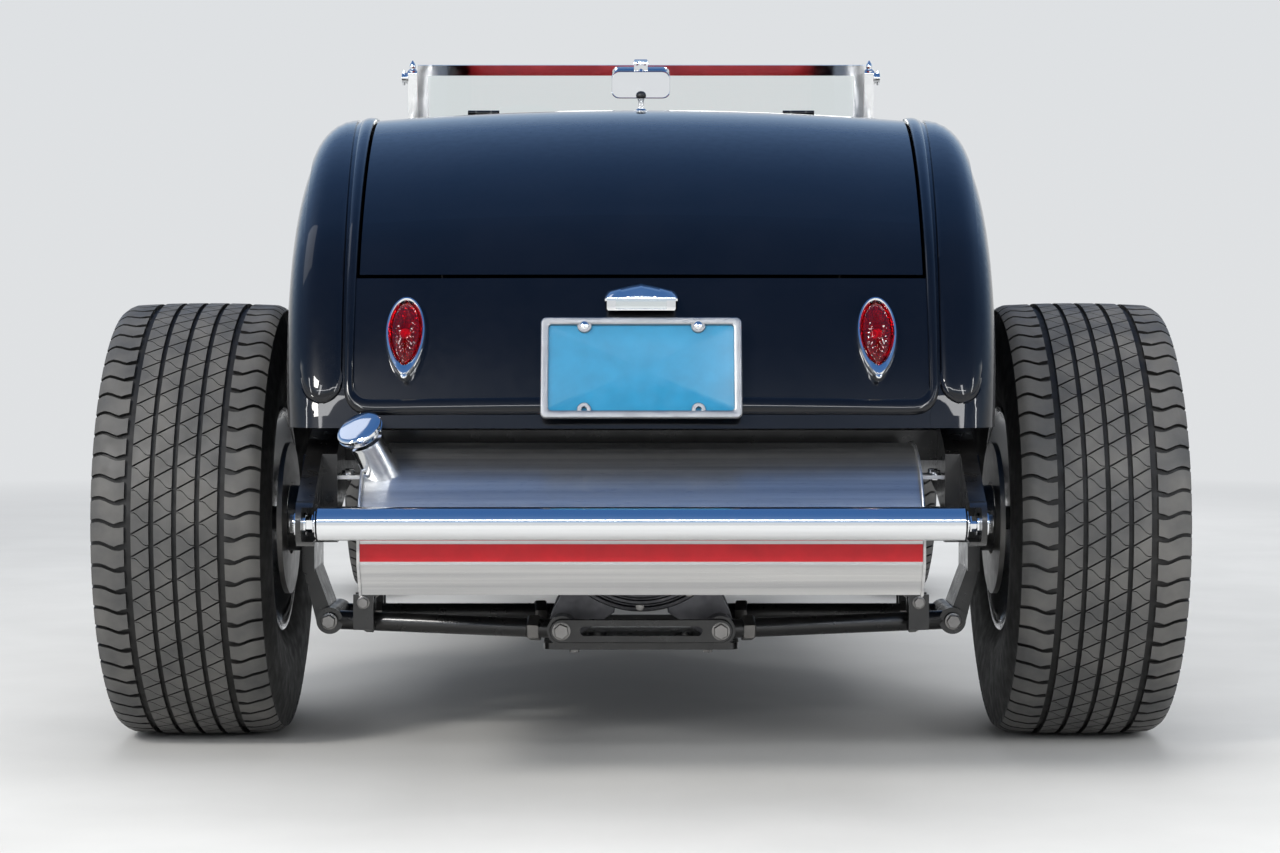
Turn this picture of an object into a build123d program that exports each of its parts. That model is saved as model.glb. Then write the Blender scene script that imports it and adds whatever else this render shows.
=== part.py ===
"""Open two-seat hot rod roadster with no fenders, on an exposed ladder frame.

Millimetres. +Y is forward, +X is the car's right, +Z is up. The origin is on the ground,
at the middle of the overall length and width. Most places along the car are given as a
distance ahead of the rear axle, because the body, frame and tank are set out from it.
"""

import os
from math import acos, cos, degrees, radians, sin, sqrt, tan

from build123d import *

# Wheels and stance
wheelbase = 2692
rear_track = 1576
front_track = 1430
rear_tyre_diameter = 785
rear_tyre_width = 305
rear_tread_width = 250
rear_rim_width = 254
front_tyre_diameter = 650
front_tyre_width = 190
front_tread_width = 140
front_rim_width = 152
bead_radius = 190.5
flange_radius = 203
kingpin_spacing = 1190

# Reach of the frame horns past the axles
rear_horn_reach = 856
front_horn_reach = 340
rear_horn_radius = 34
front_horn_radius = 30

# Body shape
side_arc_radius = 2600
side_widest_z = 670
shoulder_radius = 60
body_wall = 30
door_wall = 45
floor_z = 495
floor_thickness = 12
tail_bottom_z = 584
tail_setback = 715
tail_ref_z = 620
tail_angle = 73
knee_angle = 35
tail_arc_radius = 581
deck_arc_radius = 1233
firewall_ahead = 1850
firewall_top_z = 1088
crown_radius = 7000
bead_height = 4
panel_gap = 6
rear_door_gap = 8

# Openings in the body
door_front_ahead = 1385
door_rear_ahead = 758
cockpit_rear_ahead = 430
cockpit_rear_half = 498
cockpit_front_half = 466
cockpit_corner_radius = 60
lid_front_ahead = 228
lid_low_z = 826
lid_low_half = 452
lid_front_half = 492
wheel_arch_gap = 38
arch_lip = 16
tub_x = 500
tub_wall = 8
trunk_floor_z = 614
riser_ahead = 960
platform_half = 545

# Beads pressed in the body skin
ridge_widths = (14, 26)  # at the tail, beside the lid's front
ridge_low_z = 608
ridge_height = 24
ridge_inner_corner = 25
ridge_outer_corner = 40
reveal_insets = (24, 42)
reveal_widths = (64, 74)
reveal_end_z = 630
reveal_turn_ahead = -100
reveal_turn_z = 1018
reveal_merge = (520, 592)  # ahead, half width
belt_low_z = 1020
belt_high_z = 1070

# Frame
rail_thickness = 50
horn_web = 10
horn_flange = 8
horn_thickness = 26
horn_thin_ahead = -660
horn_nut_length = 20
horn_nut_radius = 13
spreader_radius = 25.5
rail_bottom_z = 350
rear_horn_z = 445
front_horn_z = 395

# Hood and grille
hood_wall = 8
hood_bottom_z = 520
hood_top_front_z = firewall_top_z
hood_front_half = 275
hood_front_bottom_half = 240
grille_rear_ahead = wheelbase - 88
grille_depth = 110
grille_bottom_z = 470
grille_top_z = firewall_top_z + 7
grille_half = 285
grille_bottom_half = 222
grille_rim = 20
bar_count = 21

# Fits
running_fit = 0.05
joint_gap = 0.3

# Derived places
rear_radius = rear_tyre_diameter / 2
front_radius = front_tyre_diameter / 2
rear_reach = rear_horn_reach + rear_horn_radius
front_reach = wheelbase + front_horn_reach + front_horn_radius
rear_axle_y = -(front_reach - rear_reach) / 2
body_bottom_z = floor_z + floor_thickness
arch_radius = rear_radius + wheel_arch_gap
kingpin_x = kingpin_spacing / 2

# Body half width at its widest height
BODY_STATIONS = (  # ahead, half width
    (-860, 538),
    (-640, 563),
    (-390, 590),
    (0, 611),
    (400, 616),
    (760, 614),
    (1380, 574),
    (firewall_ahead, 470),
)

# Outer face of each frame rail
RAIL_PLAN = (  # ahead, half width
    (-rear_reach, 519),
    (-400, 545),
    (300, 556),
    (760, 545),
    (1380, 488),
    (1860, 430),
    (2600, 362),
    (front_reach, 345),
)

# Rail seen from the side
RAIL_SIDE = (  # ahead, top z, bottom z, corner radius
    (-600, 560, 440, 120),
    (-300, 612, 480, 160),
    (330, 612, 470, 160),
    (680, 495, rail_bottom_z, 160),
    (2250, 495, rail_bottom_z, 120),
    (2600, 490, 370, 120),
    (2850, 470, 385, 90),
)

# Deck lid hinges stand on the gap at the lid's front edge
lid_hinge_x = 300
lid_hinge_ahead = lid_front_ahead + panel_gap / 2
lid_hinge_radius = 4
lid_hinge_z = 1150

# Door hinge line stands outside the skin and leans with it
hinge_lean = 0.048
hinge_offset = 12
hinge_ref_z = 600
hinge_radius = 8
hinge_heights = (640, 990)
hinge_ahead = door_front_ahead - panel_gap / 2
hinge_reach = 34

# Steering line, which the firewall and dashboard let through
column_x = -280
wheel_hub = (column_x, 1130, 1010)
box_end = (column_x, 2390, 430)
column_radius = 19
bell_half = 165
bell_top_z = 622

# Members that join the rails
CROSSMEMBERS = (  # rear ahead, front ahead, bottom z, top z
    (2652, 2732, 425, grille_bottom_z),
    (1440, 1500, 352, 392),
    (640, 700, 352, 374),
    (-70, 70, 545, 600),
    (-440, -390, 520, 570),
)

# Coil spring units, which stand between ears on the arms and on the frame
tower_x = 395
coil_ahead = 95
coil_top = (tower_x, 520)
coil_bottom = (497, 249)
eye_half = 16
COIL_EARS = (  # near, far
    (coil_ahead - eye_half - 9, coil_ahead - eye_half),
    (coil_ahead + eye_half, coil_ahead + eye_half + 9),
)

# Fuel tank across the rear of the frame
tank_half = 434
tank_rear_ahead = -800
tank_front_ahead = -495
tank_bottom_z = 328
tank_top_z = 556
tank_face_z = 425
tank_tuck = 34
filler_foot = (-402, -712, 512)
filler_end = (-434, -762, 582)

# Rear suspension and final drive
diff_z = rear_radius - 14
inner_pivot = (141, 204)
outer_pivot = (562, 212)
upright_x = 600
spindle_tip = rear_track / 2 - 10

# Front axle and steering
axle_half = 22
axle_drop_z = 255
boss_radius = 30
kingpin_radius = 16
spindle_radius = 18
tie_rod_ahead = wheelbase - 132
tie_rod_z = 190
tie_rod_radius = 11
sector_x = column_x
sector_z = 350
pitman_length = 150
drag_ahead = tie_rod_ahead - 42

# Hood and grille
hood_rod_radius = 4

# Headlamps on stands from the frame
lamp_x = 392
lamp_z = 850
lamp_ahead = 2740
lamp_radius = 90

# Exhaust outlets under the floor
outlet_radius = 21
outlet_depth = 80

# Windshield
shield_base = (1440, 1117)
shield_height = 241
shield_lean = 13
shield_half = 522
shield_bar = 24
shield_depth = 12

# Lamps and number plate on the tail
tail_lamp_x = 372
tail_lamp_z = 735
tail_lamp_size = (33, 64, 80)  # half width, height above and below
tail_lens_size = (24, 55, 57)
plate_size = (314, 163)
plate_z = 679
plate_ahead = -712
plate_lamp_half = 57.5

shapes = {}


def ahead(distance):
    """Y of a point that lies this far ahead of the rear axle."""
    return rear_axle_y + distance


def between(table, distance):
    """Second column of a table at a distance ahead of the rear axle."""
    for (low, start), (high, end) in zip(table, table[1:]):
        if distance <= high:
            break
    return start + (end - start) * (distance - low) / (high - low)


def station(distance):
    """Plane across the car, seen from behind, with x to the right."""
    return Plane(origin=(0, ahead(distance), 0), x_dir=(1, 0, 0), z_dir=(0, -1, 0))


def lengthwise(x):
    """Plane along the car at this x, with its own x forward."""
    return Plane(origin=(x, 0, 0), x_dir=(0, 1, 0), z_dir=(1, 0, 0))


def level(z):
    """Horizontal plane at this height."""
    return Plane.XY.offset(z)


def keep(name, part):
    """Labels a finished piece and puts it with the others."""
    part.label = name
    shapes[name] = part


def flipped(part):
    """The same piece for the car's left side."""
    return mirror(part, about=Plane.YZ)


def pair(part):
    """The piece and its mirror image, as separate solids."""
    with BuildPart() as both:
        add(part)
        mirror(about=Plane.YZ)
    return both.part


def block(x_span, ahead_span, z_span):
    """Box between two x, two distances ahead of the rear axle and two heights."""
    with BuildPart() as box:
        with BuildSketch(level(z_span[0])):
            with Locations((sum(x_span) / 2, ahead(sum(ahead_span) / 2))):
                Rectangle(x_span[1] - x_span[0], ahead_span[1] - ahead_span[0])
        extrude(amount=z_span[1] - z_span[0])
    return box.part


def rod(start, end, radius):
    """Round bar between two points given as (x, ahead, z)."""
    first = Vector(start[0], ahead(start[1]), start[2])
    last = Vector(end[0], ahead(end[1]), end[2])
    with BuildPart() as bar:
        with BuildSketch(Plane(origin=first, z_dir=last - first)):
            Circle(radius)
        extrude(amount=(last - first).length)
    return bar.part


def side_plate(points, x_span, corner=0):
    """Plate drawn from the side as (ahead, z) points and thick along x."""
    with BuildPart() as plate:
        with BuildSketch(lengthwise(x_span[0])) as outline:
            Polygon(*[(ahead(a), z) for a, z in points], align=None)
            if corner:
                fillet(outline.vertices(), corner)
        extrude(amount=x_span[1] - x_span[0])
    return plate.part


# Body skin


def side_x(half, z):
    """Half width at height z of a body section whose widest half width is half."""
    return half - (side_arc_radius - sqrt(side_arc_radius**2 - (z - side_widest_z) ** 2))


def side_form(inset):
    """The body's two sides, lofted through the stations and taller than the body."""
    low, middle, high = 430, 850, 1260
    with BuildPart() as form:
        for distance, half in BODY_STATIONS:
            right = [(side_x(half - inset, z), z) for z in (low, middle, high)]
            left = [(-x, z) for x, z in reversed(right)]
            with BuildSketch(station(distance)):
                with BuildLine():
                    ThreePointArc(*right)
                    Line(right[2], left[0])
                    ThreePointArc(*left)
                    Line(left[2], right[0])
                make_face()
        loft()
    return form.part


def deck_points(inset):
    """Tail, knee, summit and firewall points of the upper outline, as (ahead, z)."""
    lean, knee = radians(tail_angle), radians(knee_angle)
    r_tail, r_deck = tail_arc_radius - inset, deck_arc_radius - inset
    tail = (-tail_setback + inset * sin(lean), tail_ref_z - inset * cos(lean))
    turn = (
        tail[0] + r_tail * (sin(lean) - sin(knee)),
        tail[1] + r_tail * (cos(knee) - cos(lean)),
    )
    summit = (turn[0] + r_deck * sin(knee), turn[1] + r_deck * (1 - cos(knee)))
    return tail, turn, summit, (firewall_ahead, firewall_top_z - inset)


def tail_at(z):
    """Distance ahead of the rear axle of the tail's middle at height z, and its slope."""
    tail, turn, _, _ = deck_points(0)
    if z <= tail[1]:
        return tail[0] - (tail[1] - z) / tan(radians(tail_angle)), tail_angle
    radius, start, angle = tail_arc_radius, tail, radians(tail_angle)
    if z > turn[1]:
        radius, start, angle = deck_arc_radius, turn, radians(knee_angle)
    slope = acos(cos(angle) + (z - start[1]) / radius)
    return start[0] + radius * (sin(angle) - sin(slope)), degrees(slope)


def tail_plane(x, z, lift=0):
    """Plane on the tail at x and height z, facing out, with its own x to the right."""
    distance, slope = tail_at(z)
    outward = Vector(0, -sin(radians(slope)), cos(radians(slope)))
    sag = x * x / (2 * crown_radius)
    origin = Vector(x, ahead(distance), z) - outward * (sag - lift)
    return Plane(origin=origin, x_dir=(1, 0, 0), z_dir=outward)


def deck_form(inset):
    """Tail, deck and cowl top: one outline swung about a far axis, which crowns it."""
    low, swing = 380, 18
    lean, knee = radians(tail_angle), radians(knee_angle)
    tail, turn, summit, front = [(ahead(a), z) for a, z in deck_points(inset)]
    foot = (tail[0] - (tail[1] - low) / tan(lean), low)
    far_axis = Axis((0, ahead(0), summit[1] + inset - crown_radius), (0, 1, 1.04))
    with BuildPart() as form:
        with BuildSketch(lengthwise(0)):
            with BuildLine():
                TangentArc(tail, turn, tangent=(cos(lean), sin(lean)))
                TangentArc(turn, summit, tangent=(cos(knee), sin(knee)))
                TangentArc(summit, front, tangent=(1, 0))
                Line(front, (front[0], low))
                Line((front[0], low), foot)
                Line(foot, tail)
            make_face()
        revolve(axis=far_axis, revolution_arc=swing)
    return form.part.rotate(far_axis, -swing / 2)


def is_shoulder(edge):
    """True for the long edges where the sides meet the deck and the tail."""
    spot = edge.center()
    on_side = abs(spot.X) > 400
    high = spot.Z > 800 and spot.Y < ahead(firewall_ahead - 20)
    low_tail = spot.Z > 480 and spot.Y < ahead(0)
    return on_side and (high or low_tail)


def body_form(inset):
    """The body as one closed form with rounded shoulders, drawn in by the inset."""
    with BuildPart() as form:
        add(side_form(inset))
        add(deck_form(inset), mode=Mode.INTERSECT)
        fillet(form.edges().filter_by(is_shoulder), shoulder_radius - inset)
    return form.part


outer_form = body_form(0)
proud_form = body_form(-bead_height)
inner_form = body_form(body_wall)


def lid_line(distance, offset=0):
    """Half width of a line beside the deck lid's edge, at a distance ahead."""
    low_ahead = tail_at(lid_low_z)[0]
    share = (distance - low_ahead) / (lid_front_ahead - low_ahead)
    return lid_low_half + (lid_front_half - lid_low_half) * share + offset


def strip_corner(distance, offsets):
    """Point beside the lid's edge; the offsets are at the tail and at the lid's front."""
    table = ((-tail_setback, offsets[0]), (lid_front_ahead, offsets[1]))
    return lid_line(distance, between(table, distance)), ahead(distance)


def deck_strip(near, far, low):
    """Prism on both sides that runs beside the lid's edge from the tail to the cockpit."""
    tail = -900
    with BuildPart() as strip:
        with BuildSketch(level(low)):
            Polygon(
                strip_corner(tail, near),
                strip_corner(tail, far),
                strip_corner(lid_front_ahead, far),
                strip_corner(lid_front_ahead, near),
                align=None,
            )
            mirror(about=Plane.YZ)
        extrude(amount=1300 - low)
    return strip.part


def tail_rod(x, z, radius):
    """Round prism along the car through the tail's skin, on both sides."""
    bar = rod((x, -900, z), (x, -560, z), radius)
    with BuildPart() as both:
        add(bar)
        mirror(about=Plane.YZ)
    return both.part


def reveal_band():
    """Prism of the wide bead: round foot on the tail, over the shoulder, into the belt."""
    near = reveal_insets
    far = [inset + width for inset, width in zip(reveal_insets, reveal_widths)]
    inner = strip_corner(-tail_setback, near)[0]
    outer = strip_corner(-tail_setback, far)[0]
    radius = (outer - inner) / 2
    turn, front = reveal_turn_ahead, lid_front_ahead
    with BuildPart() as band:
        add(deck_strip(near, far, reveal_end_z + radius))
        add(
            side_plate([(turn, 300), (turn, reveal_turn_z), (front, belt_low_z), (front, 300)], (-700, 700)),
            mode=Mode.SUBTRACT,
        )
        with BuildSketch(level(belt_low_z)):
            Polygon(
                strip_corner(front, near),
                (700, ahead(front)),
                (700, ahead(reveal_merge[0])),
                (reveal_merge[1], ahead(reveal_merge[0])),
                align=None,
            )
            mirror(about=Plane.YZ)
        extrude(amount=1300 - belt_low_z)
        add(tail_rod((inner + outer) / 2, reveal_end_z + radius, radius))
    return band.part


def bead_bands():
    """Prisms that mark where the skin stands proud as ridges, reveals and belt."""
    inner = strip_corner(-tail_setback, (panel_gap, panel_gap))[0]
    ridge_far = [panel_gap + width for width in ridge_widths]
    outer = strip_corner(-tail_setback, ridge_far)[0]
    top = ridge_low_z + ridge_height
    round_in, round_out = ridge_inner_corner, ridge_outer_corner
    tail = (-900, -560)
    with BuildPart() as web:
        add(pair(block((inner - round_in, inner), tail, (top, top + round_in))))
        add(tail_rod(inner - round_in, top + round_in, round_in), mode=Mode.SUBTRACT)
    with BuildPart() as spare:
        add(pair(block((outer - round_out, outer + 9), tail, (ridge_low_z - 9, ridge_low_z + round_out))))
        add(tail_rod(outer - round_out, ridge_low_z + round_out, round_out), mode=Mode.SUBTRACT)
    with BuildPart() as bands:
        add(deck_strip((panel_gap, panel_gap), ridge_far, ridge_low_z))
        add(block((-outer, outer), tail, (ridge_low_z, top)))
        add(spare.part, mode=Mode.SUBTRACT)
        add(web.part)
        add(reveal_band())
        add(block((-700, 700), (lid_front_ahead, 2000), (belt_low_z, belt_high_z)))
    return bands.part


def wheel_hole(radius, x_span):
    """Round prism on the rear axle line, on both sides."""
    with BuildPart() as hole:
        with BuildSketch(lengthwise(x_span[0])):
            with Locations((ahead(0), rear_radius)):
                Circle(radius)
        extrude(amount=x_span[1] - x_span[0])
        mirror(about=Plane.YZ)
    return hole.part


def body_shell():
    """Hollow skin of the whole body with beads and wheel arches, before it is split."""
    with BuildPart() as where:
        add(bead_bands())
        add(wheel_hole(arch_radius + arch_lip, (tub_x, 700)))
    with BuildPart() as proud:
        add(proud_form)
        add(where.part, mode=Mode.INTERSECT)
    with BuildPart() as shell:
        add(outer_form)
        add(proud.part)
        add(inner_form, mode=Mode.SUBTRACT)
        add(block((-700, 700), (-1000, 2000), (300, body_bottom_z)), mode=Mode.SUBTRACT)
        add(block((-700, 700), (-1000, 0), (300, tail_bottom_z)), mode=Mode.SUBTRACT)
        add(wheel_hole(arch_radius, (tub_x, 700)), mode=Mode.SUBTRACT)
    return shell.part


skin = body_shell()


def middle_prism(offset):
    """Prism over the lid, tail and cockpit, as wide as their openings less the offset."""
    outline = [
        (-1000, lid_line(-1000, panel_gap)),
        (lid_front_ahead, lid_line(lid_front_ahead, panel_gap)),
        (cockpit_rear_ahead, cockpit_rear_half),
        (door_rear_ahead, cockpit_rear_half - 1),
        (door_front_ahead, cockpit_front_half),
    ]
    right = [(half - offset, ahead(distance)) for distance, half in outline]
    with BuildPart() as prism:
        with BuildSketch(level(300)):
            Polygon(*right, *[(-x, y) for x, y in reversed(right)], align=None)
        extrude(amount=1200)
    return prism.part


def cockpit_prism():
    """Prism through the cockpit opening, its rear corners round."""
    with BuildPart() as prism:
        add(middle_prism(0))
        add(block((-700, 700), (-1100, cockpit_rear_ahead), (200, 1600)), mode=Mode.SUBTRACT)
        rear_edges = prism.edges().filter_by(Axis.Z).group_by(Axis.Y)[0]
        fillet(rear_edges, cockpit_corner_radius)
    return prism.part


def quarter():
    """Right rear quarter with its reveal, ridge, wheel arch and inner wheelhouse."""
    with BuildPart() as tub:
        add(wheel_hole(arch_radius + tub_wall, (tub_x - tub_wall, 700)))
        add(wheel_hole(arch_radius, (tub_x, 700)), mode=Mode.SUBTRACT)
        add(block((-700, 700), (-1000, 1000), (-100, trunk_floor_z)), mode=Mode.SUBTRACT)
        add(outer_form, mode=Mode.INTERSECT)
    with BuildPart() as panel:
        add(skin)
        add(middle_prism(0), mode=Mode.SUBTRACT)
        add(tub.part)
        add(block((0, 700), (-1000, door_rear_ahead), (300, 1400)), mode=Mode.INTERSECT)
    return panel.part


def tail_panel():
    """Panel between the quarters and under the deck lid, with its pressed bead."""
    with BuildPart() as panel:
        add(skin)
        add(middle_prism(joint_gap), mode=Mode.INTERSECT)
        add(block((-600, 600), (-1000, -400), (300, lid_low_z - panel_gap)), mode=Mode.INTERSECT)
    return panel.part


def cockpit_rear_panel():
    """Panel between the lid and the cockpit, with the bulkhead behind the seat."""
    front = cockpit_rear_ahead + cockpit_corner_radius
    with BuildPart() as bulkhead:
        add(inner_form)
        add(
            block(
                (-570, 570),
                (cockpit_rear_ahead - floor_thickness, cockpit_rear_ahead),
                (trunk_floor_z + floor_thickness, 1300),
            ),
            mode=Mode.INTERSECT,
        )
    with BuildPart() as panel:
        add(skin)
        add(middle_prism(joint_gap), mode=Mode.INTERSECT)
        add(cockpit_prism(), mode=Mode.SUBTRACT)
        add(
            block((-600, 600), (lid_front_ahead + panel_gap, front), (900, 1400)),
            mode=Mode.INTERSECT,
        )
        add(bulkhead.part)
        add(lid_hinges("panel"))
    return panel.part


def deck_lid():
    """Lid over the trunk, from the tail's flat up over the knee to its front hinge."""
    with BuildPart() as lid:
        add(outer_form)
        add(inner_form, mode=Mode.SUBTRACT)
        add(middle_prism(panel_gap), mode=Mode.INTERSECT)
        add(
            block((-600, 600), (-1000, lid_front_ahead), (lid_low_z, 1400)),
            mode=Mode.INTERSECT,
        )
        add(lid_hinges("lid"))
    return lid.part


# Deck lid hinges stand on the gap at the lid's front edge


def lid_hinges(owner):
    """Barrels and leaves of the lid's hinges that belong to the lid or to the panel."""
    with BuildPart() as hinges:
        for side in (-1, 1):
            x = side * lid_hinge_x
            spans = ((x - 14, x + 14),) if owner == "lid" else ((x - 30, x - 14.5), (x + 14.5, x + 30))
            reach = -22 if owner == "lid" else 22
            leaf = sorted((lid_hinge_ahead, lid_hinge_ahead + reach))
            foot = sorted((lid_hinge_ahead + reach / 4, lid_hinge_ahead + reach))
            under = lid_hinge_z - lid_hinge_radius
            for span in spans:
                add(
                    rod(
                        (span[0], lid_hinge_ahead, lid_hinge_z),
                        (span[1], lid_hinge_ahead, lid_hinge_z),
                        lid_hinge_radius,
                    )
                )
                add(block(span, leaf, (under, under + 2)))
                add(block(span, foot, (under - 14, under + 2)))
    return hinges.part


# Door hinge line stands outside the skin and leans with it


def hinge_x(z):
    """X of the right door's hinge line at height z."""
    return between(BODY_STATIONS, door_front_ahead) + hinge_offset - hinge_lean * (z - hinge_ref_z)


def hinge_strap(low, high, reach):
    """Barrel on the door's hinge line with a strap that runs to the skin beside it."""
    middle = hinge_x((low + high) / 2)
    with BuildPart() as strap:
        add(rod((hinge_x(low), hinge_ahead, low), (hinge_x(high), hinge_ahead, high), hinge_radius))
        add(
            block(
                (middle - hinge_reach, middle + hinge_radius / 2),
                sorted((hinge_ahead, hinge_ahead + reach)),
                (low, high),
            )
        )
    return strap.part


def door():
    """Right door, as thick as the whole wall, with its outside hinge straps."""
    with BuildPart() as panel:
        add(proud_form)
        add(block((-700, 700), (lid_front_ahead, 2000), (belt_low_z, belt_high_z)), mode=Mode.INTERSECT)
        add(outer_form)
        add(body_form(door_wall), mode=Mode.SUBTRACT)
        add(cockpit_prism(), mode=Mode.SUBTRACT)
        add(
            block(
                (300, 700),
                (door_rear_ahead + rear_door_gap, door_front_ahead - panel_gap),
                (body_bottom_z + panel_gap, 1400),
            ),
            mode=Mode.INTERSECT,
        )
        for z in hinge_heights:
            add(hinge_strap(z - 12, z + 12, -hinge_reach))
    return panel.part


def cowl():
    """Front of the body: cowl sides and top, the firewall and the door hinge lugs."""
    with BuildPart() as firewall:
        add(inner_form)
        add(
            block((-600, 600), (firewall_ahead - 24, firewall_ahead), (body_bottom_z, 1300)),
            mode=Mode.INTERSECT,
        )
        add(
            block((-bell_half, bell_half), (1700, 2000), (400, bell_top_z)),
            mode=Mode.SUBTRACT,
        )
        add(rod(wheel_hub, box_end, column_radius + 3), mode=Mode.SUBTRACT)
    with BuildPart() as panel:
        add(skin)
        add(block((-700, 700), (door_front_ahead, 2000), (300, 1400)), mode=Mode.INTERSECT)
        add(firewall.part)
        for z in hinge_heights:
            for low, high in ((z - 26, z - 13), (z + 13, z + 26)):
                strap = hinge_strap(low, high, hinge_reach)
                add(strap)
                add(flipped(strap))
    return panel.part


def floor_pan():
    """Cabin floor, seat riser, trunk floor and the tunnel over the gearbox."""
    with BuildPart() as platform:
        add(inner_form)
        add(
            block((-700, 700), (-1000, riser_ahead), (trunk_floor_z, trunk_floor_z + floor_thickness)),
            mode=Mode.INTERSECT,
        )
        for side in (-1, 1):
            outside = sorted((side * platform_half, side * 700))
            add(block(outside, (700, 1000), (500, 700)), mode=Mode.SUBTRACT)
        add(
            wheel_hole(arch_radius + tub_wall + joint_gap, (tub_x - tub_wall - joint_gap, 700)),
            mode=Mode.SUBTRACT,
        )
    with BuildPart() as pan:
        add(outer_form)
        add(block((-700, 700), (720, firewall_ahead), (floor_z, body_bottom_z)), mode=Mode.INTERSECT)
        add(platform.part)
        add(
            block(
                (-platform_half, platform_half),
                (riser_ahead - floor_thickness, riser_ahead),
                (floor_z, trunk_floor_z),
            )
        )
        add(block((-bell_half, bell_half), (1340, firewall_ahead), (floor_z, bell_top_z)))
        add(
            block(
                (-bell_half + 8, bell_half - 8),
                (1348, firewall_ahead + 10),
                (floor_z - 10, bell_top_z - 8),
            ),
            mode=Mode.SUBTRACT,
        )
    return pan.part


# Frame


def rail_edge(which):
    """Corner points of the rail's upper or lower edge, with their rounding."""
    rise = 1 if which == "top" else -1
    column = 1 if which == "top" else 2
    first = (-rear_horn_reach, rear_horn_z + rise * rear_horn_radius, 0)
    last = (wheelbase + front_horn_reach, front_horn_z + rise * front_horn_radius, 0)
    return [first, *[(row[0], row[column], row[3]) for row in RAIL_SIDE], last]


def rail():
    """Right frame rail: side outline, bent in plan, with an open cup at the rear horn."""
    corners = rail_edge("top") + rail_edge("bottom")[::-1]
    with BuildPart() as side:
        with BuildSketch(lengthwise(250)) as outline:
            Polygon(*[(ahead(a), z) for a, z, _ in corners], align=None)
            for a, z, radius in corners:
                if radius:
                    near = outline.vertices().sort_by_distance((ahead(a), z, 0))[0]
                    fillet(near, radius)
            with Locations((ahead(-rear_horn_reach), rear_horn_z)):
                Circle(rear_horn_radius)
            with Locations((ahead(wheelbase + front_horn_reach), front_horn_z)):
                Circle(front_horn_radius)
        extrude(amount=400)
    with BuildPart() as plan:
        with BuildSketch(level(300)):
            outer = [(half, ahead(a)) for a, half in RAIL_PLAN]
            inner = [(half - rail_thickness, ahead(a)) for a, half in RAIL_PLAN]
            Polygon(*outer, *inner[::-1], align=None)
        extrude(amount=400)
        add(side.part, mode=Mode.INTERSECT)
        with BuildSketch(level(300)):
            edge = [(a, between(RAIL_PLAN, a) - horn_thickness) for a in (-rear_reach - 9, horn_thin_ahead)]
            inside = [(half - rail_thickness, ahead(a)) for a, half in edge]
            Polygon(*[(half, ahead(a)) for a, half in edge], *inside[::-1], align=None)
        extrude(amount=400, mode=Mode.SUBTRACT)
    web_x = between(RAIL_PLAN, -rear_horn_reach) - horn_web
    with BuildPart() as cup:
        with BuildSketch(lengthwise(web_x)):
            with Locations((ahead(-rear_horn_reach), rear_horn_z)):
                Rectangle(120, 2 * (rear_horn_radius - horn_flange))
        extrude(amount=-100)
    with BuildPart() as beam:
        add(plan.part)
        add(cup.part, mode=Mode.SUBTRACT)
    return beam.part


# Members that join the rails


def frame():
    """Two rails, the crossmembers, horn bolt heads and the coil spring towers."""
    with BuildPart() as ladder:
        add(rail())
        mirror(about=Plane.YZ)
        for rear, front, low, high in CROSSMEMBERS:
            half = between(RAIL_PLAN, (rear + front) / 2) - rail_thickness / 2
            add(block((-half, half), (rear, front), (low, high)))
        for end, radius in ((-rear_horn_reach, rear_horn_z), (wheelbase + front_horn_reach, front_horn_z)):
            face = between(RAIL_PLAN, end)
            head = rod((face - 4, end, radius), (face + 9, end, radius), 14)
            add(head)
            add(flipped(head))
        for side in (-1, 1):
            span = sorted((side * (tower_x - 30), side * (tower_x + 30)))
            add(block(span, (-135, 135), (560, 600)))
            for end in (-1, 1):
                for near, far in COIL_EARS:
                    ears = sorted((end * near, end * far))
                    add(block(span, ears, (coil_top[1] - 22, 565)))
    return ladder.part


def spreader_bars():
    """Round bars between the frame horns at the rear and at the front."""
    rear_half = between(RAIL_PLAN, -rear_horn_reach) - horn_web
    front_end = wheelbase + front_horn_reach
    front_half = between(RAIL_PLAN, front_end) - rail_thickness
    with BuildPart() as bars:
        add(
            rod(
                (horn_nut_length - rear_half, -rear_horn_reach, rear_horn_z),
                (rear_half - horn_nut_length, -rear_horn_reach, rear_horn_z),
                spreader_radius,
            )
        )
        for side in (-1, 1):
            with BuildSketch(Plane.YZ.offset(side * (rear_half - horn_nut_length))):
                with Locations((ahead(-rear_horn_reach), rear_horn_z)):
                    RegularPolygon(horn_nut_radius, 6)
            extrude(amount=side * horn_nut_length)
        add(
            rod(
                (-front_half - 1, front_end, front_horn_z),
                (front_half + 1, front_end, front_horn_z),
                spreader_radius * 0.75,
            )
        )
        add(ladder_frame, mode=Mode.SUBTRACT)
    return bars.part


# Fuel tank across the rear of the frame


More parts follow.
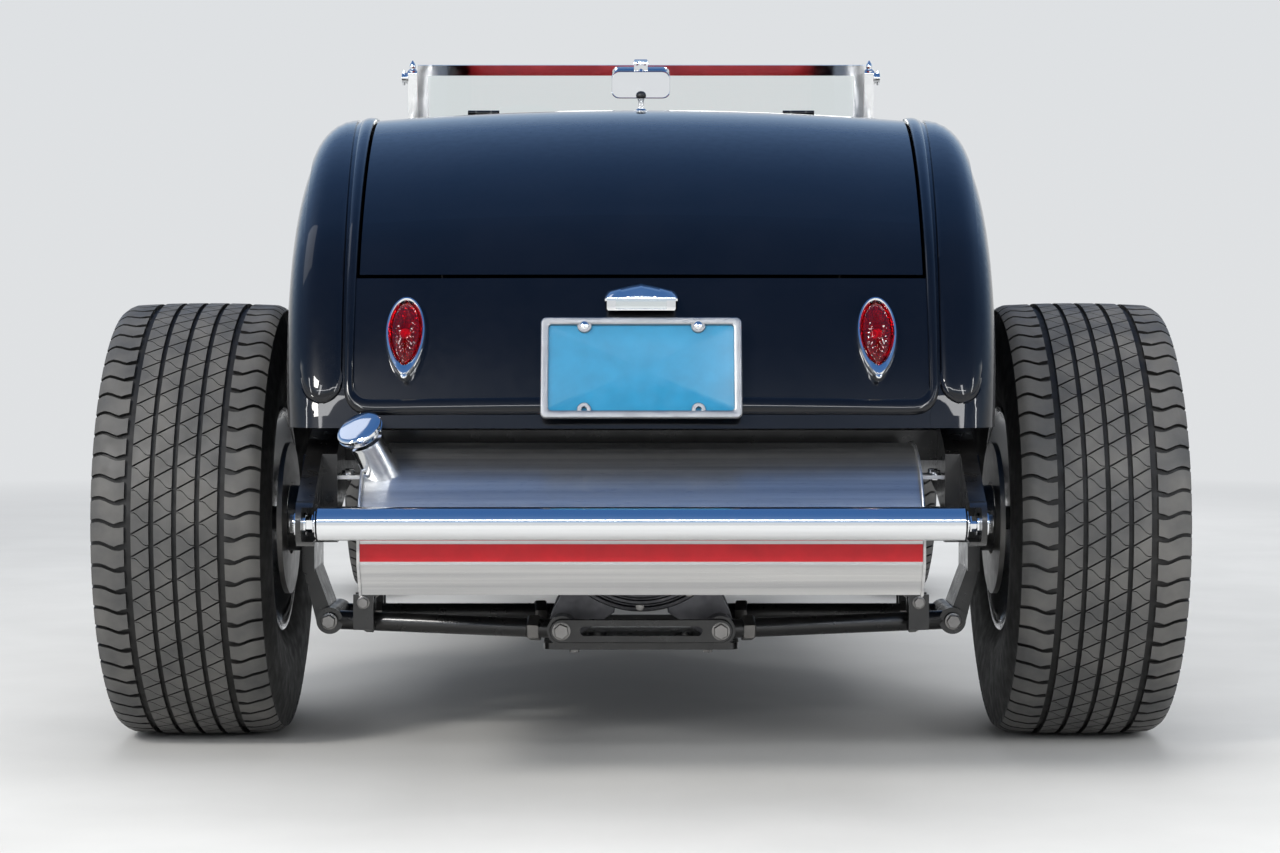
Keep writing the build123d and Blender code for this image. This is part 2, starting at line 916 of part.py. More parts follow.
def fuel_tank():
    """Brushed tank with a large upper curve, end seams and hanging tabs."""
    rear, front = ahead(tank_rear_ahead), ahead(tank_front_ahead)
    with BuildPart() as tank:
        with BuildSketch(lengthwise(-tank_half)) as outline:
            with BuildLine():
                Line((front, tank_bottom_z + 12), (front, tank_top_z - 10))
                Line((front, tank_top_z - 10), (front - 100, tank_top_z))
                TangentArc(
                    (front - 100, tank_top_z),
                    (rear, tank_face_z),
                    tangent=(-1, -0.02),
                )
                Line((rear, tank_face_z), (rear, tank_bottom_z + tank_tuck + 16))
                Line((rear, tank_bottom_z + tank_tuck + 16), (rear + tank_tuck, tank_bottom_z))
                Line((rear + tank_tuck, tank_bottom_z), (front, tank_bottom_z + 12))
            make_face()
        extrude(amount=2 * tank_half)
        tabs = block((tank_half - 2, 500), (-640, -560), (500, 506))
        for tab in (tabs, flipped(tabs)):
            add(tab)
        add(ladder_frame, mode=Mode.SUBTRACT)
        add(rod(filler_foot, filler_end, 28), mode=Mode.SUBTRACT)
    return tank.part.solids().sort_by(SortBy.VOLUME)[-1]


def filler_cap():
    """Neck and round cap at the tank's left rear corner."""
    foot, end = Vector(*filler_foot), Vector(*filler_end)
    way = (end - foot).normalized()
    cap_start, cap_end = end - way * 6, end + way * 8
    with BuildPart() as filler:
        add(rod(filler_foot, filler_end, 27.9))
        add(rod(tuple(cap_start), tuple(cap_end), 36))
    return filler.part


# Rear suspension and final drive


def differential():
    """Final drive housing with a ribbed round cover, side flanges and pivot ears."""
    with BuildPart() as housing:
        add(block((-105, 105), (-60, 140), (270, 480)))
        fillet(housing.edges().filter_by(Axis.Y), 40)
        cover = 135
        for radius, rear in ((cover, -120), (108, -132), (82, -142), (52, -150)):
            add(rod((0, rear, diff_z), (0, -55, diff_z), radius))
        for radius in (120, 94, 66):
            groove_face = {120: -120, 94: -132, 66: -142}[radius]
            with BuildSketch(station(groove_face)):
                with Locations((0, diff_z)):
                    Circle(radius + 3)
                    Circle(radius - 3, mode=Mode.SUBTRACT)
            extrude(amount=-5, mode=Mode.SUBTRACT)
        add(rod((-150, 0, rear_radius), (150, 0, rear_radius), 58))
        add(rod((0, 140, rear_radius), (0, 262, rear_radius), 52))
        for side in (-1, 1):
            span = sorted((side * 95, side * 165))
            for rear, front in ((-110, -85), (85, 110)):
                add(
                    side_plate(
                        [(rear, 177), (front, 177), (front, 330), (rear, 330)],
                        span,
                    )
                )
        add(block((-60, 60), (-50, 50), (470, 545)))
        for side in (-1, 1):
            for end in (-1, 1):
                pivot = side * inner_pivot[0]
                add(
                    rod((pivot, end * 60, inner_pivot[1]), (pivot, end * 140, inner_pivot[1]), 10.05),
                    mode=Mode.SUBTRACT,
                )
    return housing.part


def tie_plate():
    """Slotted plate under the final drive that joins the inner pivots."""
    with BuildPart() as plate:
        with BuildSketch(level(165)):
            with Locations((0, ahead(0))):
                RectangleRounded(350, 250, 24)
            with Locations((-80, ahead(0)), (80, ahead(0))):
                SlotOverall(90, 34, rotation=90, mode=Mode.SUBTRACT)
        extrude(amount=12)
    return plate.part


def lower_arms():
    """Fork-shaped lower arms with eyes at both pivots and feet for the coil springs."""
    with BuildPart() as arm:
        for end in (-1, 1):
            inner = (inner_pivot[0], end * 140, inner_pivot[1])
            outer = (outer_pivot[0] - 14, end * 62, outer_pivot[1])
            add(rod(inner, outer, 17))
            add(rod((inner[0], end * 112, inner[2]), (inner[0], end * 168, inner[2]), 26))
            add(
                rod(
                    (inner[0], end * 84, inner[2]),
                    (inner[0], end * 168, inner[2]),
                    10,
                )
            )
            for near, far in COIL_EARS:
                add(
                    block(
                        (coil_bottom[0] - 18, coil_bottom[0] + 18),
                        sorted((end * near, end * far)),
                        (200, coil_bottom[1] + 14),
                    )
                )
            add(
                block(
                    (coil_bottom[0] - 18, coil_bottom[0] + 18),
                    sorted((end * (coil_ahead - 25), end * (coil_ahead + 25))),
                    (200, 214),
                )
            )
        add(rod((outer_pivot[0], -80, outer_pivot[1]), (outer_pivot[0], 80, outer_pivot[1]), 24))
    return pair(arm.part)


def coil_overs():
    """Four spring and damper units between the lower arms and the frame's towers."""
    with BuildPart() as units:
        for end in (-1, 1):
            u = end * coil_ahead
            low = Vector(coil_bottom[0], u, coil_bottom[1])
            high = Vector(coil_top[0], u, coil_top[1])
            way = (high - low).normalized()
            add(rod(tuple(low + way * 24), tuple(low + way * 120), 24))
            add(rod(tuple(low + way * 60), tuple(high - way * 46), 36))
            add(rod(tuple(high - way * 60), tuple(high), 12))
            add(rod(tuple(low), tuple(low + way * 40), 12))
            for x, z in (coil_bottom, coil_top):
                add(rod((x, u - eye_half, z), (x, u + eye_half, z), 15))
    return units.part


def rear_uprights():
    """Hub carriers with the spindles that the rear wheels turn on."""
    with BuildPart() as carrier:
        with BuildSketch(Plane.YZ.offset(upright_x - 10)):
            with BuildLine():
                Polyline(
                    (ahead(-70), 300),
                    (ahead(-70), 480),
                    (ahead(-40), 510),
                    (ahead(40), 510),
                    (ahead(70), 480),
                    (ahead(70), 300),
                    close=True,
                )
            make_face()
        extrude(amount=22)
        with BuildSketch(station(-60)):
            Polygon((upright_x - 10, 305), (upright_x + 12, 305), (586, 200), (552, 200), align=None)
        extrude(amount=-120)
        add(
            rod(
                (outer_pivot[0], -90, outer_pivot[1]),
                (outer_pivot[0], 90, outer_pivot[1]),
                24 + joint_gap,
            ),
            mode=Mode.SUBTRACT,
        )
        add(rod((upright_x, 0, rear_radius), (spindle_tip, 0, rear_radius), 22))
        add(rod((upright_x, 0, rear_radius), (upright_x + 40, 0, rear_radius), 60))
    return pair(carrier.part)


def drive_shafts():
    """Propeller shaft and the two half shafts with their joints."""
    with BuildPart() as shafts:
        add(rod((0, 262, rear_radius), (0, 300, rear_radius), 40))
        add(rod((0, 285, rear_radius), (0, 1360, 450), 32))
        add(rod((0, 1345, 450), (0, 1380, 450), 40))
        for side in (-1, 1):
            add(rod((side * 150.3, 0, rear_radius), (side * 185, 0, rear_radius), 50))
            add(rod((side * 180, 0, rear_radius), (side * 560, 0, rear_radius), 21))
            add(rod((side * 555, 0, rear_radius), (side * (upright_x - 10.3), 0, rear_radius), 45))
    return shafts.part


# Wheels


def tyre(radius, width, tread_width, rim_width):
    """Tyre about the x axis, centred at the origin."""
    bead = rim_width / 2 - 1
    side = width / 2
    tread = tread_width / 2
    shoulder = radius - (radius - bead_radius) * 0.12
    with BuildPart() as ring:
        with BuildSketch(Plane.XY):
            with BuildLine():
                Line((-bead, bead_radius + 0.3), (bead, bead_radius + 0.3))
                Line((bead, bead_radius + 0.3), (bead, flange_radius))
                ThreePointArc(
                    (bead, flange_radius),
                    (side, (bead_radius + radius) / 2),
                    (tread + (side - tread) * 0.62, shoulder),
                )
                Line((tread + (side - tread) * 0.62, shoulder), (tread, radius - 3))
                ThreePointArc((tread, radius - 3), (0, radius), (-tread, radius - 3))
                Line((-tread, radius - 3), (-tread - (side - tread) * 0.62, shoulder))
                ThreePointArc(
                    (-tread - (side - tread) * 0.62, shoulder),
                    (-side, (bead_radius + radius) / 2),
                    (-bead, flange_radius),
                )
                Line((-bead, flange_radius), (-bead, bead_radius + 0.3))
            make_face()
        revolve(axis=Axis.X)
    return ring.part


def rim(width, disc_in, disc_out, hub_in, spindle_radius, bore_end):
    """Five-spoke wheel about the x axis, its outer side towards +x."""
    half = width / 2
    lip = 8
    inner = bead_radius - 10
    with BuildPart() as wheel:
        with BuildSketch(Plane.XY):
            Polygon(
                (-half - lip, flange_radius),
                (-half, flange_radius),
                (-half, bead_radius),
                (half, bead_radius),
                (half, flange_radius),
                (half + lip, flange_radius),
                (half + lip, inner + 4),
                (half, inner),
                (-half, inner),
                (-half - lip, inner + 4),
                align=None,
            )
        revolve(axis=Axis.X)
        with BuildSketch(Plane.YZ.offset(disc_in)) as spokes:
            Circle(inner + 3)
            with PolarLocations(0, 5):
                Polygon((86, 24), (166, 66), (178, 0), (166, -66), (86, -24), align=None, mode=Mode.SUBTRACT)
        extrude(amount=disc_out - disc_in)
        with BuildSketch(Plane.YZ.offset(hub_in)):
            Circle(58)
        extrude(amount=disc_out - hub_in + 6)
        with BuildSketch(Plane.YZ.offset(disc_out)):
            Circle(40)
        extrude(amount=26, taper=20)
        with BuildSketch(Plane.YZ.offset(hub_in - 1)):
            Circle(spindle_radius + running_fit)
        extrude(amount=bore_end - hub_in + 1, mode=Mode.SUBTRACT)
    return wheel.part


# Front axle and steering


def front_axle():
    """Dropped I-section beam with bosses bored for the kingpins."""
    top, low, end_top, end_low = axle_drop_z + 28, axle_drop_z - 28, front_radius + 22, front_radius - 26
    knee, rise = 400, kingpin_x - 50
    with BuildPart() as axle:
        with BuildSketch(station(wheelbase - axle_half)):
            Polygon(
                (-kingpin_x, end_low),
                (-rise, end_low),
                (-knee, low),
                (knee, low),
                (rise, end_low),
                (kingpin_x, end_low),
                (kingpin_x, end_top),
                (rise - 20, end_top),
                (knee - 10, top),
                (10 - knee, top),
                (20 - rise, end_top),
                (-kingpin_x, end_top),
                align=None,
            )
        extrude(amount=-2 * axle_half)
        for face, depth in ((wheelbase - axle_half, -14), (wheelbase + axle_half, 14)):
            with BuildSketch(station(face)):
                with Locations((0, axle_drop_z)):
                    Rectangle(2 * knee - 120, 34)
            extrude(amount=depth, mode=Mode.SUBTRACT)
        for side in (-1, 1):
            x = side * kingpin_x
            add(rod((x, wheelbase, front_radius - 35), (x, wheelbase, front_radius + 35), boss_radius))
        for side in (-1, 1):
            x = side * kingpin_x
            add(
                rod(
                    (x, wheelbase, front_radius - 60),
                    (x, wheelbase, front_radius + 60),
                    kingpin_radius + running_fit,
                ),
                mode=Mode.SUBTRACT,
            )
    return axle.part


def knuckle():
    """Right steering knuckle: kingpin, yoke, wheel spindle and rearward steering arm."""
    low, high = front_radius - 37, front_radius + 37
    x = kingpin_x
    with BuildPart() as yoke:
        add(rod((x, wheelbase, low - 16), (x, wheelbase, high + 16), kingpin_radius))
        for bottom in (low - 16, high):
            add(rod((x, wheelbase, bottom), (x, wheelbase, bottom + 16), 26))
            add(block((x, x + 54), (wheelbase - 24, wheelbase + 24), (bottom, bottom + 16)))
        add(block((x + 38, x + 54), (wheelbase - 24, wheelbase + 24), (low, high)))
        tip = (front_track / 2 + 20, wheelbase, front_radius)
        add(rod((x + 50, wheelbase, front_radius), tip, spindle_radius))
        add(
            side_plate(
                [
                    (wheelbase + 20, low),
                    (wheelbase + 20, low - 16),
                    (wheelbase - 30, low - 22),
                    (tie_rod_ahead + 20, tie_rod_z + 14),
                    (tie_rod_ahead - 16, tie_rod_z + 14),
                    (tie_rod_ahead - 16, tie_rod_z + 32),
                    (tie_rod_ahead + 10, tie_rod_z + 32),
                    (wheelbase - 26, low),
                ],
                (x - 13, x + 13),
            )
        )
        add(
            rod((x, tie_rod_ahead, tie_rod_z), (x, tie_rod_ahead, tie_rod_z + 60), 7 + running_fit),
            mode=Mode.SUBTRACT,
        )
        add(rod((x, wheelbase, low), (x, wheelbase, high), boss_radius + 2), mode=Mode.SUBTRACT)
        add(rod((x, wheelbase, low - 1), (x, wheelbase, high + 1), kingpin_radius))
    return yoke.part


def tie_rod():
    """Tie rod between the steering arms, with the clamped drag link beside it."""
    x = kingpin_x
    with BuildPart() as rods:
        add(rod((-x, tie_rod_ahead, tie_rod_z), (x, tie_rod_ahead, tie_rod_z), tie_rod_radius))
        for side in (-1, 1):
            eye = side * x
            add(rod((eye, tie_rod_ahead, tie_rod_z - 13), (eye, tie_rod_ahead, tie_rod_z + 13), 15))
            add(rod((eye, tie_rod_ahead, tie_rod_z), (eye, tie_rod_ahead, tie_rod_z + 34), 7))
        link_z = sector_z - pitman_length
        add(rod((sector_x, drag_ahead, link_z), (280, drag_ahead, link_z), 9))
        add(rod((sector_x, drag_ahead - 12, link_z), (sector_x, drag_ahead + 12, link_z), 15))
        add(block((262, 298), (drag_ahead - 14, tie_rod_ahead + 14), (tie_rod_z - 14, tie_rod_z + 20)))
    return rods.part


def pitman_arm():
    """Arm from the steering box down to the drag link."""
    rear, front = drag_ahead - 26, drag_ahead - 13
    with BuildPart() as arm:
        with BuildSketch(station(rear)):
            with BuildLine():
                Polyline(
                    (sector_x - 22, sector_z),
                    (sector_x - 14, sector_z - pitman_length),
                    (sector_x + 14, sector_z - pitman_length),
                    (sector_x + 22, sector_z),
                    close=True,
                )
            make_face()
            with Locations((sector_x, sector_z)):
                Circle(24)
            with Locations((sector_x, sector_z - pitman_length)):
                Circle(16)
        extrude(amount=rear - front)
        add(rod((sector_x, rear, sector_z), (sector_x, rear - 16, sector_z), 14))
    return arm.part


def steering_column():
    """Steering box on the left rail with the column that runs up to the wheel."""
    hub, end = Vector(*wheel_hub), Vector(*box_end)
    way = (end - hub).normalized()
    box_front = drag_ahead - 34
    with BuildPart() as column:
        add(block((column_x - 26, column_x + 42), (2385, box_front), (318, 470)))
        fillet(column.edges().filter_by(Axis.Y), 14)
        add(
            rod(
                (sector_x, box_front - 10, sector_z),
                (sector_x, drag_ahead - 27, sector_z),
                24,
            )
        )
        add(
            rod((sector_x, box_front - 40, sector_z), (sector_x, drag_ahead, sector_z), 14 + running_fit),
            mode=Mode.SUBTRACT,
        )
        add(rod(tuple(hub + way * 46), tuple(end), column_radius))
        wall = firewall_ahead - 24
        share = (wall - hub.Y) / (end.Y - hub.Y)
        z = hub.Z + (end.Z - hub.Z) * share
        add(block((column_x - 45, column_x + 45), (wall - 7, wall), (z - 48, z + 52)))
    return column.part


def steering_wheel():
    """Steering wheel with three spokes, square to the column."""
    hub, end = Vector(*wheel_hub), Vector(*box_end)
    way = (hub - end).normalized()
    face = Plane(origin=(hub.X, ahead(hub.Y), hub.Z), x_dir=(1, 0, 0), z_dir=way)
    with BuildPart() as wheel:
        with BuildSketch(Plane(origin=face.origin, x_dir=face.x_dir, z_dir=face.y_dir)):
            with Locations((175, 0)):
                Circle(12)
        revolve(axis=Axis(face.origin, face.z_dir))
        with BuildSketch(face.offset(-6)):
            for angle in (0, 180, 270):
                with PolarLocations(90, 1, start_angle=angle):
                    Rectangle(166, 26)
            Circle(48)
        extrude(amount=6)
        with BuildSketch(face.offset(-45.6)):
            Circle(30)
        extrude(amount=53.6)
    return wheel.part


def front_spring():
    """Transverse leaf stack between the front crossmember and the axle perches."""
    half = 430
    top, end = CROSSMEMBERS[0][2], 330
    with BuildPart() as leaves:
        with BuildSketch(station(wheelbase - 21)):
            for number in range(6):
                reach = half - number * 62
                sag = (top - end) * (reach / half) ** 2
                high = top - 8 * (5 - number) - 0.5
                with BuildLine():
                    upper = ThreePointArc((-reach, high - sag), (0, high), (reach, high - sag))
                    Line((reach, high - sag), (reach, high - sag - 8.2))
                    base = high - 8.2
                    lower = ThreePointArc((reach, base - sag), (0, base), (-reach, base - sag))
                    Line((-reach, high - sag - 8.2), (-reach, high - sag))
                make_face()
        extrude(amount=-42)
        add(block((-40, 40), (wheelbase - 30, wheelbase + 30), (370, top)))
        for side in (-1, 1):
            x = side * (half - 6)
            add(rod((x, wheelbase - 21, 296), (x, wheelbase + 21, 296), 12))
            add(block((x - 9, x + 9), (wheelbase - 21, wheelbase + 21), (296, 334)))
        add(axle_beam, mode=Mode.SUBTRACT)
    return leaves.part


def radius_rods():
    """Hairpin rods from the front axle back to brackets on the frame rails."""
    x, rear_x = 430, between(RAIL_PLAN, 1860) + 22
    rear = (rear_x, 1860, 400)
    with BuildPart() as rods:
        add(block((x - 12, x + 12), (wheelbase - axle_half - 30, wheelbase - axle_half), (212, 308)))
        for z in (228, 296):
            add(rod((x, wheelbase - axle_half - 20, z), rear, 13))
        add(rod((rear_x - 20, 1860, 400), (rear_x + 16, 1860, 400), 22))
        add(ladder_frame, mode=Mode.SUBTRACT)
        add(axle_beam, mode=Mode.SUBTRACT)
    return pair(rods.part.solids().sort_by(SortBy.VOLUME)[-1])


# Hood and grille


def hood_form(inset, low):
    """Tapered hood outline between the cowl and the grille shell."""
    rear = firewall_ahead + panel_gap
    front = grille_rear_ahead - panel_gap
    rear_half = between(BODY_STATIONS, firewall_ahead)
    rows = (
        (rear, side_x(rear_half, 950), side_x(rear_half, low), firewall_top_z, shoulder_radius),
        (front, hood_front_half, hood_front_bottom_half, hood_top_front_z, 80),
    )
    with BuildPart() as form:
        for distance, half, low_half, top, radius in rows:
            w, wl, t = half - inset, low_half - inset, top - inset
            drop = w * w / (2 * crown_radius)
            with BuildSketch(station(distance)) as section:
                with BuildLine():
                    ThreePointArc((-w, t - drop), (0, t), (w, t - drop))
                    Line((w, t - drop), (w, t - drop - 160))
                    Line((w, t - drop - 160), (wl, low))
                    Line((wl, low), (-wl, low))
                    Line((-wl, low), (-w, t - drop - 160))
                    Line((-w, t - drop - 160), (-w, t - drop))
                make_face()
                fillet(section.vertices().group_by(Axis.Y)[-1], radius - inset)
        loft()
    return form.part


def hood_side():
    """Right half of the hood, top and side in one, hinged along the middle."""
    with BuildPart() as half:
        add(hood_form(0, hood_bottom_z))
        add(hood_form(hood_wall, hood_bottom_z - 1), mode=Mode.SUBTRACT)
        add(
            block((hood_rod_radius + 0.5, 700), (1800, 2700), (hood_bottom_z, 1200)),
            mode=Mode.INTERSECT,
        )
    return half.part


def hood_hinge():
    """Rod along the top of the hood that both halves turn about."""
    z = firewall_top_z + 1.5
    return rod((0, firewall_ahead, z), (0, grille_rear_ahead, z), hood_rod_radius)


def grille_prism(inset):
    """Shell's front outline as a prism: narrow foot, wide shoulders and a round top."""
    low, top = grille_bottom_z + inset, grille_top_z - inset
    half, foot = grille_half - inset, grille_bottom_half - inset
    shoulder = grille_top_z - 140
    crest = (half * 0.6, top - 16)
    with BuildPart() as prism:
        with BuildSketch(station(grille_rear_ahead)):
            with BuildLine():
                Line((-foot, low), (foot, low))
                Line((foot, low), (half, shoulder))
                TangentArc((half, shoulder), crest, tangent=(0.1, 1))
                ThreePointArc(crest, (0, top), (-crest[0], crest[1]))
                TangentArc((-half, shoulder), (-crest[0], crest[1]), tangent=(-0.1, 1))
                Line((-half, shoulder), (-foot, low))
            make_face()
        extrude(amount=-grille_depth)
    return prism.part


def grille_shell():
    """Grille surround: a deep open frame that tapers to its foot."""
    with BuildPart() as shell:
        add(grille_prism(0))
        add(grille_prism(grille_rim), mode=Mode.SUBTRACT)
    return shell.part


def grille_bars():
    """Upright bars of the grille with two cross ties behind them."""
    front = grille_rear_ahead + grille_depth - 14
    pitch = 2 * grille_half / (bar_count + 1)
    with BuildPart() as bars:
        for number in range(bar_count):
            x = (number - (bar_count - 1) / 2) * pitch
            add(block((x - 2.5, x + 2.5), (front - 12, front), (400, 1200)))
        for z in (640, 890):
            add(block((-400, 400), (front - 14, front - 8), (z - 8, z + 8)))
        add(grille_prism(grille_rim + joint_gap), mode=Mode.INTERSECT)
    return bars.part


def radiator():
    """Radiator core and tanks that fill the shell behind the bars."""
    with BuildPart() as core:
        add(block((-400, 400), (grille_rear_ahead + 6, grille_rear_ahead + 62), (400, 1200)))
        add(grille_prism(grille_rim + joint_gap), mode=Mode.INTERSECT)
    return core.part


# Headlamps on stands from the frame


def headlamps():
    """Round bowl headlamps on curved stands from the frame rails."""
    foot_x = between(RAIL_PLAN, lamp_ahead) - rail_thickness / 2
    with BuildPart() as lamp:
        with BuildSketch(lengthwise(lamp_x)):
            with BuildLine():
                Line((ahead(lamp_ahead - 80), lamp_z), (ahead(lamp_ahead + 70), lamp_z))
                Line((ahead(lamp_ahead + 70), lamp_z), (ahead(lamp_ahead + 70), lamp_z + lamp_radius))
                Line(
                    (ahead(lamp_ahead + 70), lamp_z + lamp_radius),
                    (ahead(lamp_ahead + 52), lamp_z + lamp_radius),
                )
                ThreePointArc(
                    (ahead(lamp_ahead + 52), lamp_z + lamp_radius),
                    (ahead(lamp_ahead - 40), lamp_z + lamp_radius * 0.72),
                    (ahead(lamp_ahead - 80), lamp_z),
                )
            make_face()
        revolve(axis=Axis((lamp_x, 0, lamp_z), (0, 1, 0)))
        with BuildSketch(station(lamp_ahead + 70)):
            with Locations((lamp_x, lamp_z)):
                Circle(lamp_radius - 8)
        extrude(amount=12, mode=Mode.SUBTRACT)
        add(rod((foot_x, lamp_ahead, 470), (lamp_x - 10, lamp_ahead, 700), 13))
        add(rod((lamp_x - 10, lamp_ahead, 692), (lamp_x, lamp_ahead, lamp_z - 70), 13))
        add(rod((foot_x, lamp_ahead, 460), (foot_x, lamp_ahead, 498), 24))
        add(ladder_frame, mode=Mode.SUBTRACT)
    return lamp.part.solids().sort_by(SortBy.VOLUME)[-1]


def headlamp_lenses():
    """Domed glass lenses in the headlamp bowls."""
    with BuildPart() as lens:
        with BuildSketch(station(lamp_ahead + 58 + joint_gap)):
            with Locations((lamp_x, lamp_z)):
                Circle(lamp_radius - 8 - joint_gap)
        extrude(amount=-14)
        fillet(lens.edges().group_by(Axis.Y)[-1], 8)
    return pair(lens.part)


# Engine and drive


def engine_block():
    """Engine as one plain block at its place, with a sump step."""
    with BuildPart() as block_part:
        add(block((-230, 230), (1901, 2500), (480, 900)))
        add(block((-150, 150), (1901, 2420), (330, 480)))
        chamfer(block_part.edges().filter_by(Axis.Y).group_by(Axis.Z)[-1], 90)
    return block_part.part


def gearbox():
    """Bell housing and gearbox, carried on the centre crossmember."""
    with BuildPart() as case:
        add(rod((0, 1780, 460), (0, 1901, 460), 148))
        add(block((-95, 95), (1380, 1790), (392, 545)))
        fillet(case.edges().filter_by(Axis.Y), 20)
    return case.part


def exhaust():
    """Two pipes under the cabin with round mufflers and turned-out tails."""
    with BuildPart() as pipes:
        add(rod((140, 2040, 330), (140, 2040, 296), 24))
        add(rod((140, 2062, 305), (200, 1300, 300), 24))
        add(rod((200, 1310, 300), (200, 860, 300), 50))
        add(rod((200, 870, 300), (200, 560, 300), 24))
        add(rod((200, 550, 300), (200, 560 + outlet_depth, 300), outlet_radius), mode=Mode.SUBTRACT)
        add(engine, mode=Mode.SUBTRACT)
    return pair(pipes.part)


# Windshield


def shield_plane(offset=0):
    """Plane of the windshield glass, facing back, with its own y up the glass."""
    lean = radians(shield_lean)
    outward = Vector(0, -cos(lean), -sin(lean))
    origin = Vector(0, ahead(shield_base[0]), shield_base[1]) + outward * offset
    return Plane(origin=origin, x_dir=(1, 0, 0), z_dir=outward)


def windshield_frame():
    """Chrome frame around the glass, its foot cut to the cowl."""
    inner = shield_half - shield_bar
    with BuildPart() as ring:
        with BuildSketch(shield_plane(-shield_depth / 2)):
            with Locations((0, (shield_height - 45) / 2)):
                Rectangle(2 * shield_half, shield_height + 45)
            with Locations((0, shield_height / 2)):
                Rectangle(2 * inner, shield_height - 2 * shield_bar, mode=Mode.SUBTRACT)
        extrude(amount=shield_depth)
        fillet(ring.edges().filter_by(Axis.X).group_by(Axis.Z)[-1], 3)
        add(proud_form, mode=Mode.SUBTRACT)
    return ring.part.solids().sort_by(SortBy.VOLUME)[-1]


def windshield_glass():
    """Flat glass held in the frame."""
    with BuildPart() as pane:
        with BuildSketch(shield_plane(-3)):
            with Locations((0, shield_height / 2)):
                Rectangle(
                    2 * (shield_half - shield_bar - joint_gap),
                    shield_height - 2 * (shield_bar + joint_gap),
                )
        extrude(amount=6)
    return pane.part


def windshield_posts():
    """Cast posts on the cowl's sides that clamp the windshield frame."""
    base, foot = shield_base
    lean = tan(radians(shield_lean))
    knob_z = foot + 205
    top_z = foot + 222

    def line(z):
        return base - (z - foot) * lean

    with BuildPart() as post:
        add(
            side_plate(
                [
                    (base - 55, foot - 92),
                    (base + 60, foot - 92),
                    (base + 52, foot - 50),
                    (line(foot + 20) + 20, foot + 20),
                    (line(top_z) + 11, top_z),
                    (line(top_z) - 11, top_z),
                    (line(foot + 20) - 20, foot + 20),
                    (base - 50, foot - 50),
                ],
                (shield_half + joint_gap, shield_half + 22),
                8,
            )
        )
        add(rod((shield_half + 20, line(knob_z), knob_z), (shield_half + 36, line(knob_z), knob_z), 11))
        add(proud_form, mode=Mode.SUBTRACT)
    return pair(post.part.solids().sort_by(SortBy.VOLUME)[-1])


def mirrors():
    """Rear-view mirror on the windshield frame and a round side mirror on the left."""
    lean = tan(radians(shield_lean))
    top = shield_base[1] + shield_height - 14
    top_ahead = shield_base[0] - (top - shield_base[1]) * lean
    with BuildPart() as glass:
        add(block((-16, 16), (top_ahead - 24, top_ahead - 7.5), (top - 12, top + 20)))
        add(rod((0, top_ahead - 20, top - 10), (0, top_ahead - 36, top - 28), 6))
        with BuildSketch(station(top_ahead - 46)):
            with Locations((0, top - 42)):
                RectangleRounded(137, 63, 18)
        extrude(amount=-16)
        x = -(shield_half + 22)
        base_z = 1075
        base_ahead = shield_base[0] - 5
        add(rod((x, base_ahead, base_z), (-672, base_ahead - 6, base_z + 70), 7))
        add(rod((-698, base_ahead - 30, base_z + 78), (-698, base_ahead - 4, base_z + 78), 46))
        add(shield_ring, mode=Mode.SUBTRACT)
        add(shield_posts, mode=Mode.SUBTRACT)
    return glass.part


def dashboard():
    """Dashboard panel under the cowl's rear edge."""
    with BuildPart() as dash:
        add(inner_form)
        add(
            block((-700, 700), (door_front_ahead + 4, door_front_ahead + 16), (955, 1300)),
            mode=Mode.INTERSECT,
        )
    return dash.part


def seat_cushion():
    """Bench cushion on the seat platform."""
    with BuildPart() as cushion:
        add(block((-500, 500), (576, 1000), (trunk_floor_z + floor_thickness, 765)))
        fillet(cushion.edges().group_by(Axis.Z)[-1], 35)
    return cushion.part


def seat_back():
    """Bench back that leans against the bulkhead."""
    low = trunk_floor_z + floor_thickness
    rear = cockpit_rear_ahead + 0.5
    with BuildPart() as back:
        add(side_plate([(rear, low), (575, low), (575, 765), (535, 1085), (rear, 1085)], (-480, 480)))
        fillet(back.edges().group_by(Axis.Z)[-1], 30)
    return back.part


# Lamps and number plate on the tail


def tail_lamp(size, grow, height, lift):
    """One raised teardrop on the right of the tail: round above, a small round foot."""
    half, up, down = [length + grow for length in size]
    foot = half / 5
    with BuildPart() as lamp:
        with BuildSketch(tail_plane(tail_lamp_x, tail_lamp_z, -lift)):
            with BuildLine():
                EllipticalCenterArc((0, 0), half, up, arc_size=180)
                ThreePointArc((-half, 0), (-half * 0.78, -down / 2), (-foot, foot / 2 - down))
                ThreePointArc((-foot, foot / 2 - down), (0, -down), (foot, foot / 2 - down))
                ThreePointArc((foot, foot / 2 - down), (half * 0.78, -down / 2), (half, 0))
            make_face()
        extrude(amount=lift + height)
    return lamp.part


def tail_lamp_bezels():
    """Teardrop chrome rims, open in the middle for the lenses."""
    with BuildPart() as bezel:
        add(tail_lamp(tail_lamp_size, 0, 14, 20))
        add(tail_lamp(tail_lens_size, 0, 30, 6), mode=Mode.SUBTRACT)
        add(outer_form, mode=Mode.SUBTRACT)
    return pair(bezel.part.solids().sort_by(SortBy.VOLUME)[-1])


def tail_lamp_lenses():
    """Red lenses that stand a little proud of their rims."""
    with BuildPart() as lens:
        add(tail_lamp(tail_lens_size, -joint_gap, 20, 6))
        fillet(lens.edges().group_by(Axis.Y)[0], 4)
        add(outer_form, mode=Mode.SUBTRACT)
        add(bezel_pair, mode=Mode.SUBTRACT)
    return pair(lens.part.solids().sort_by(SortBy.VOLUME)[-1])


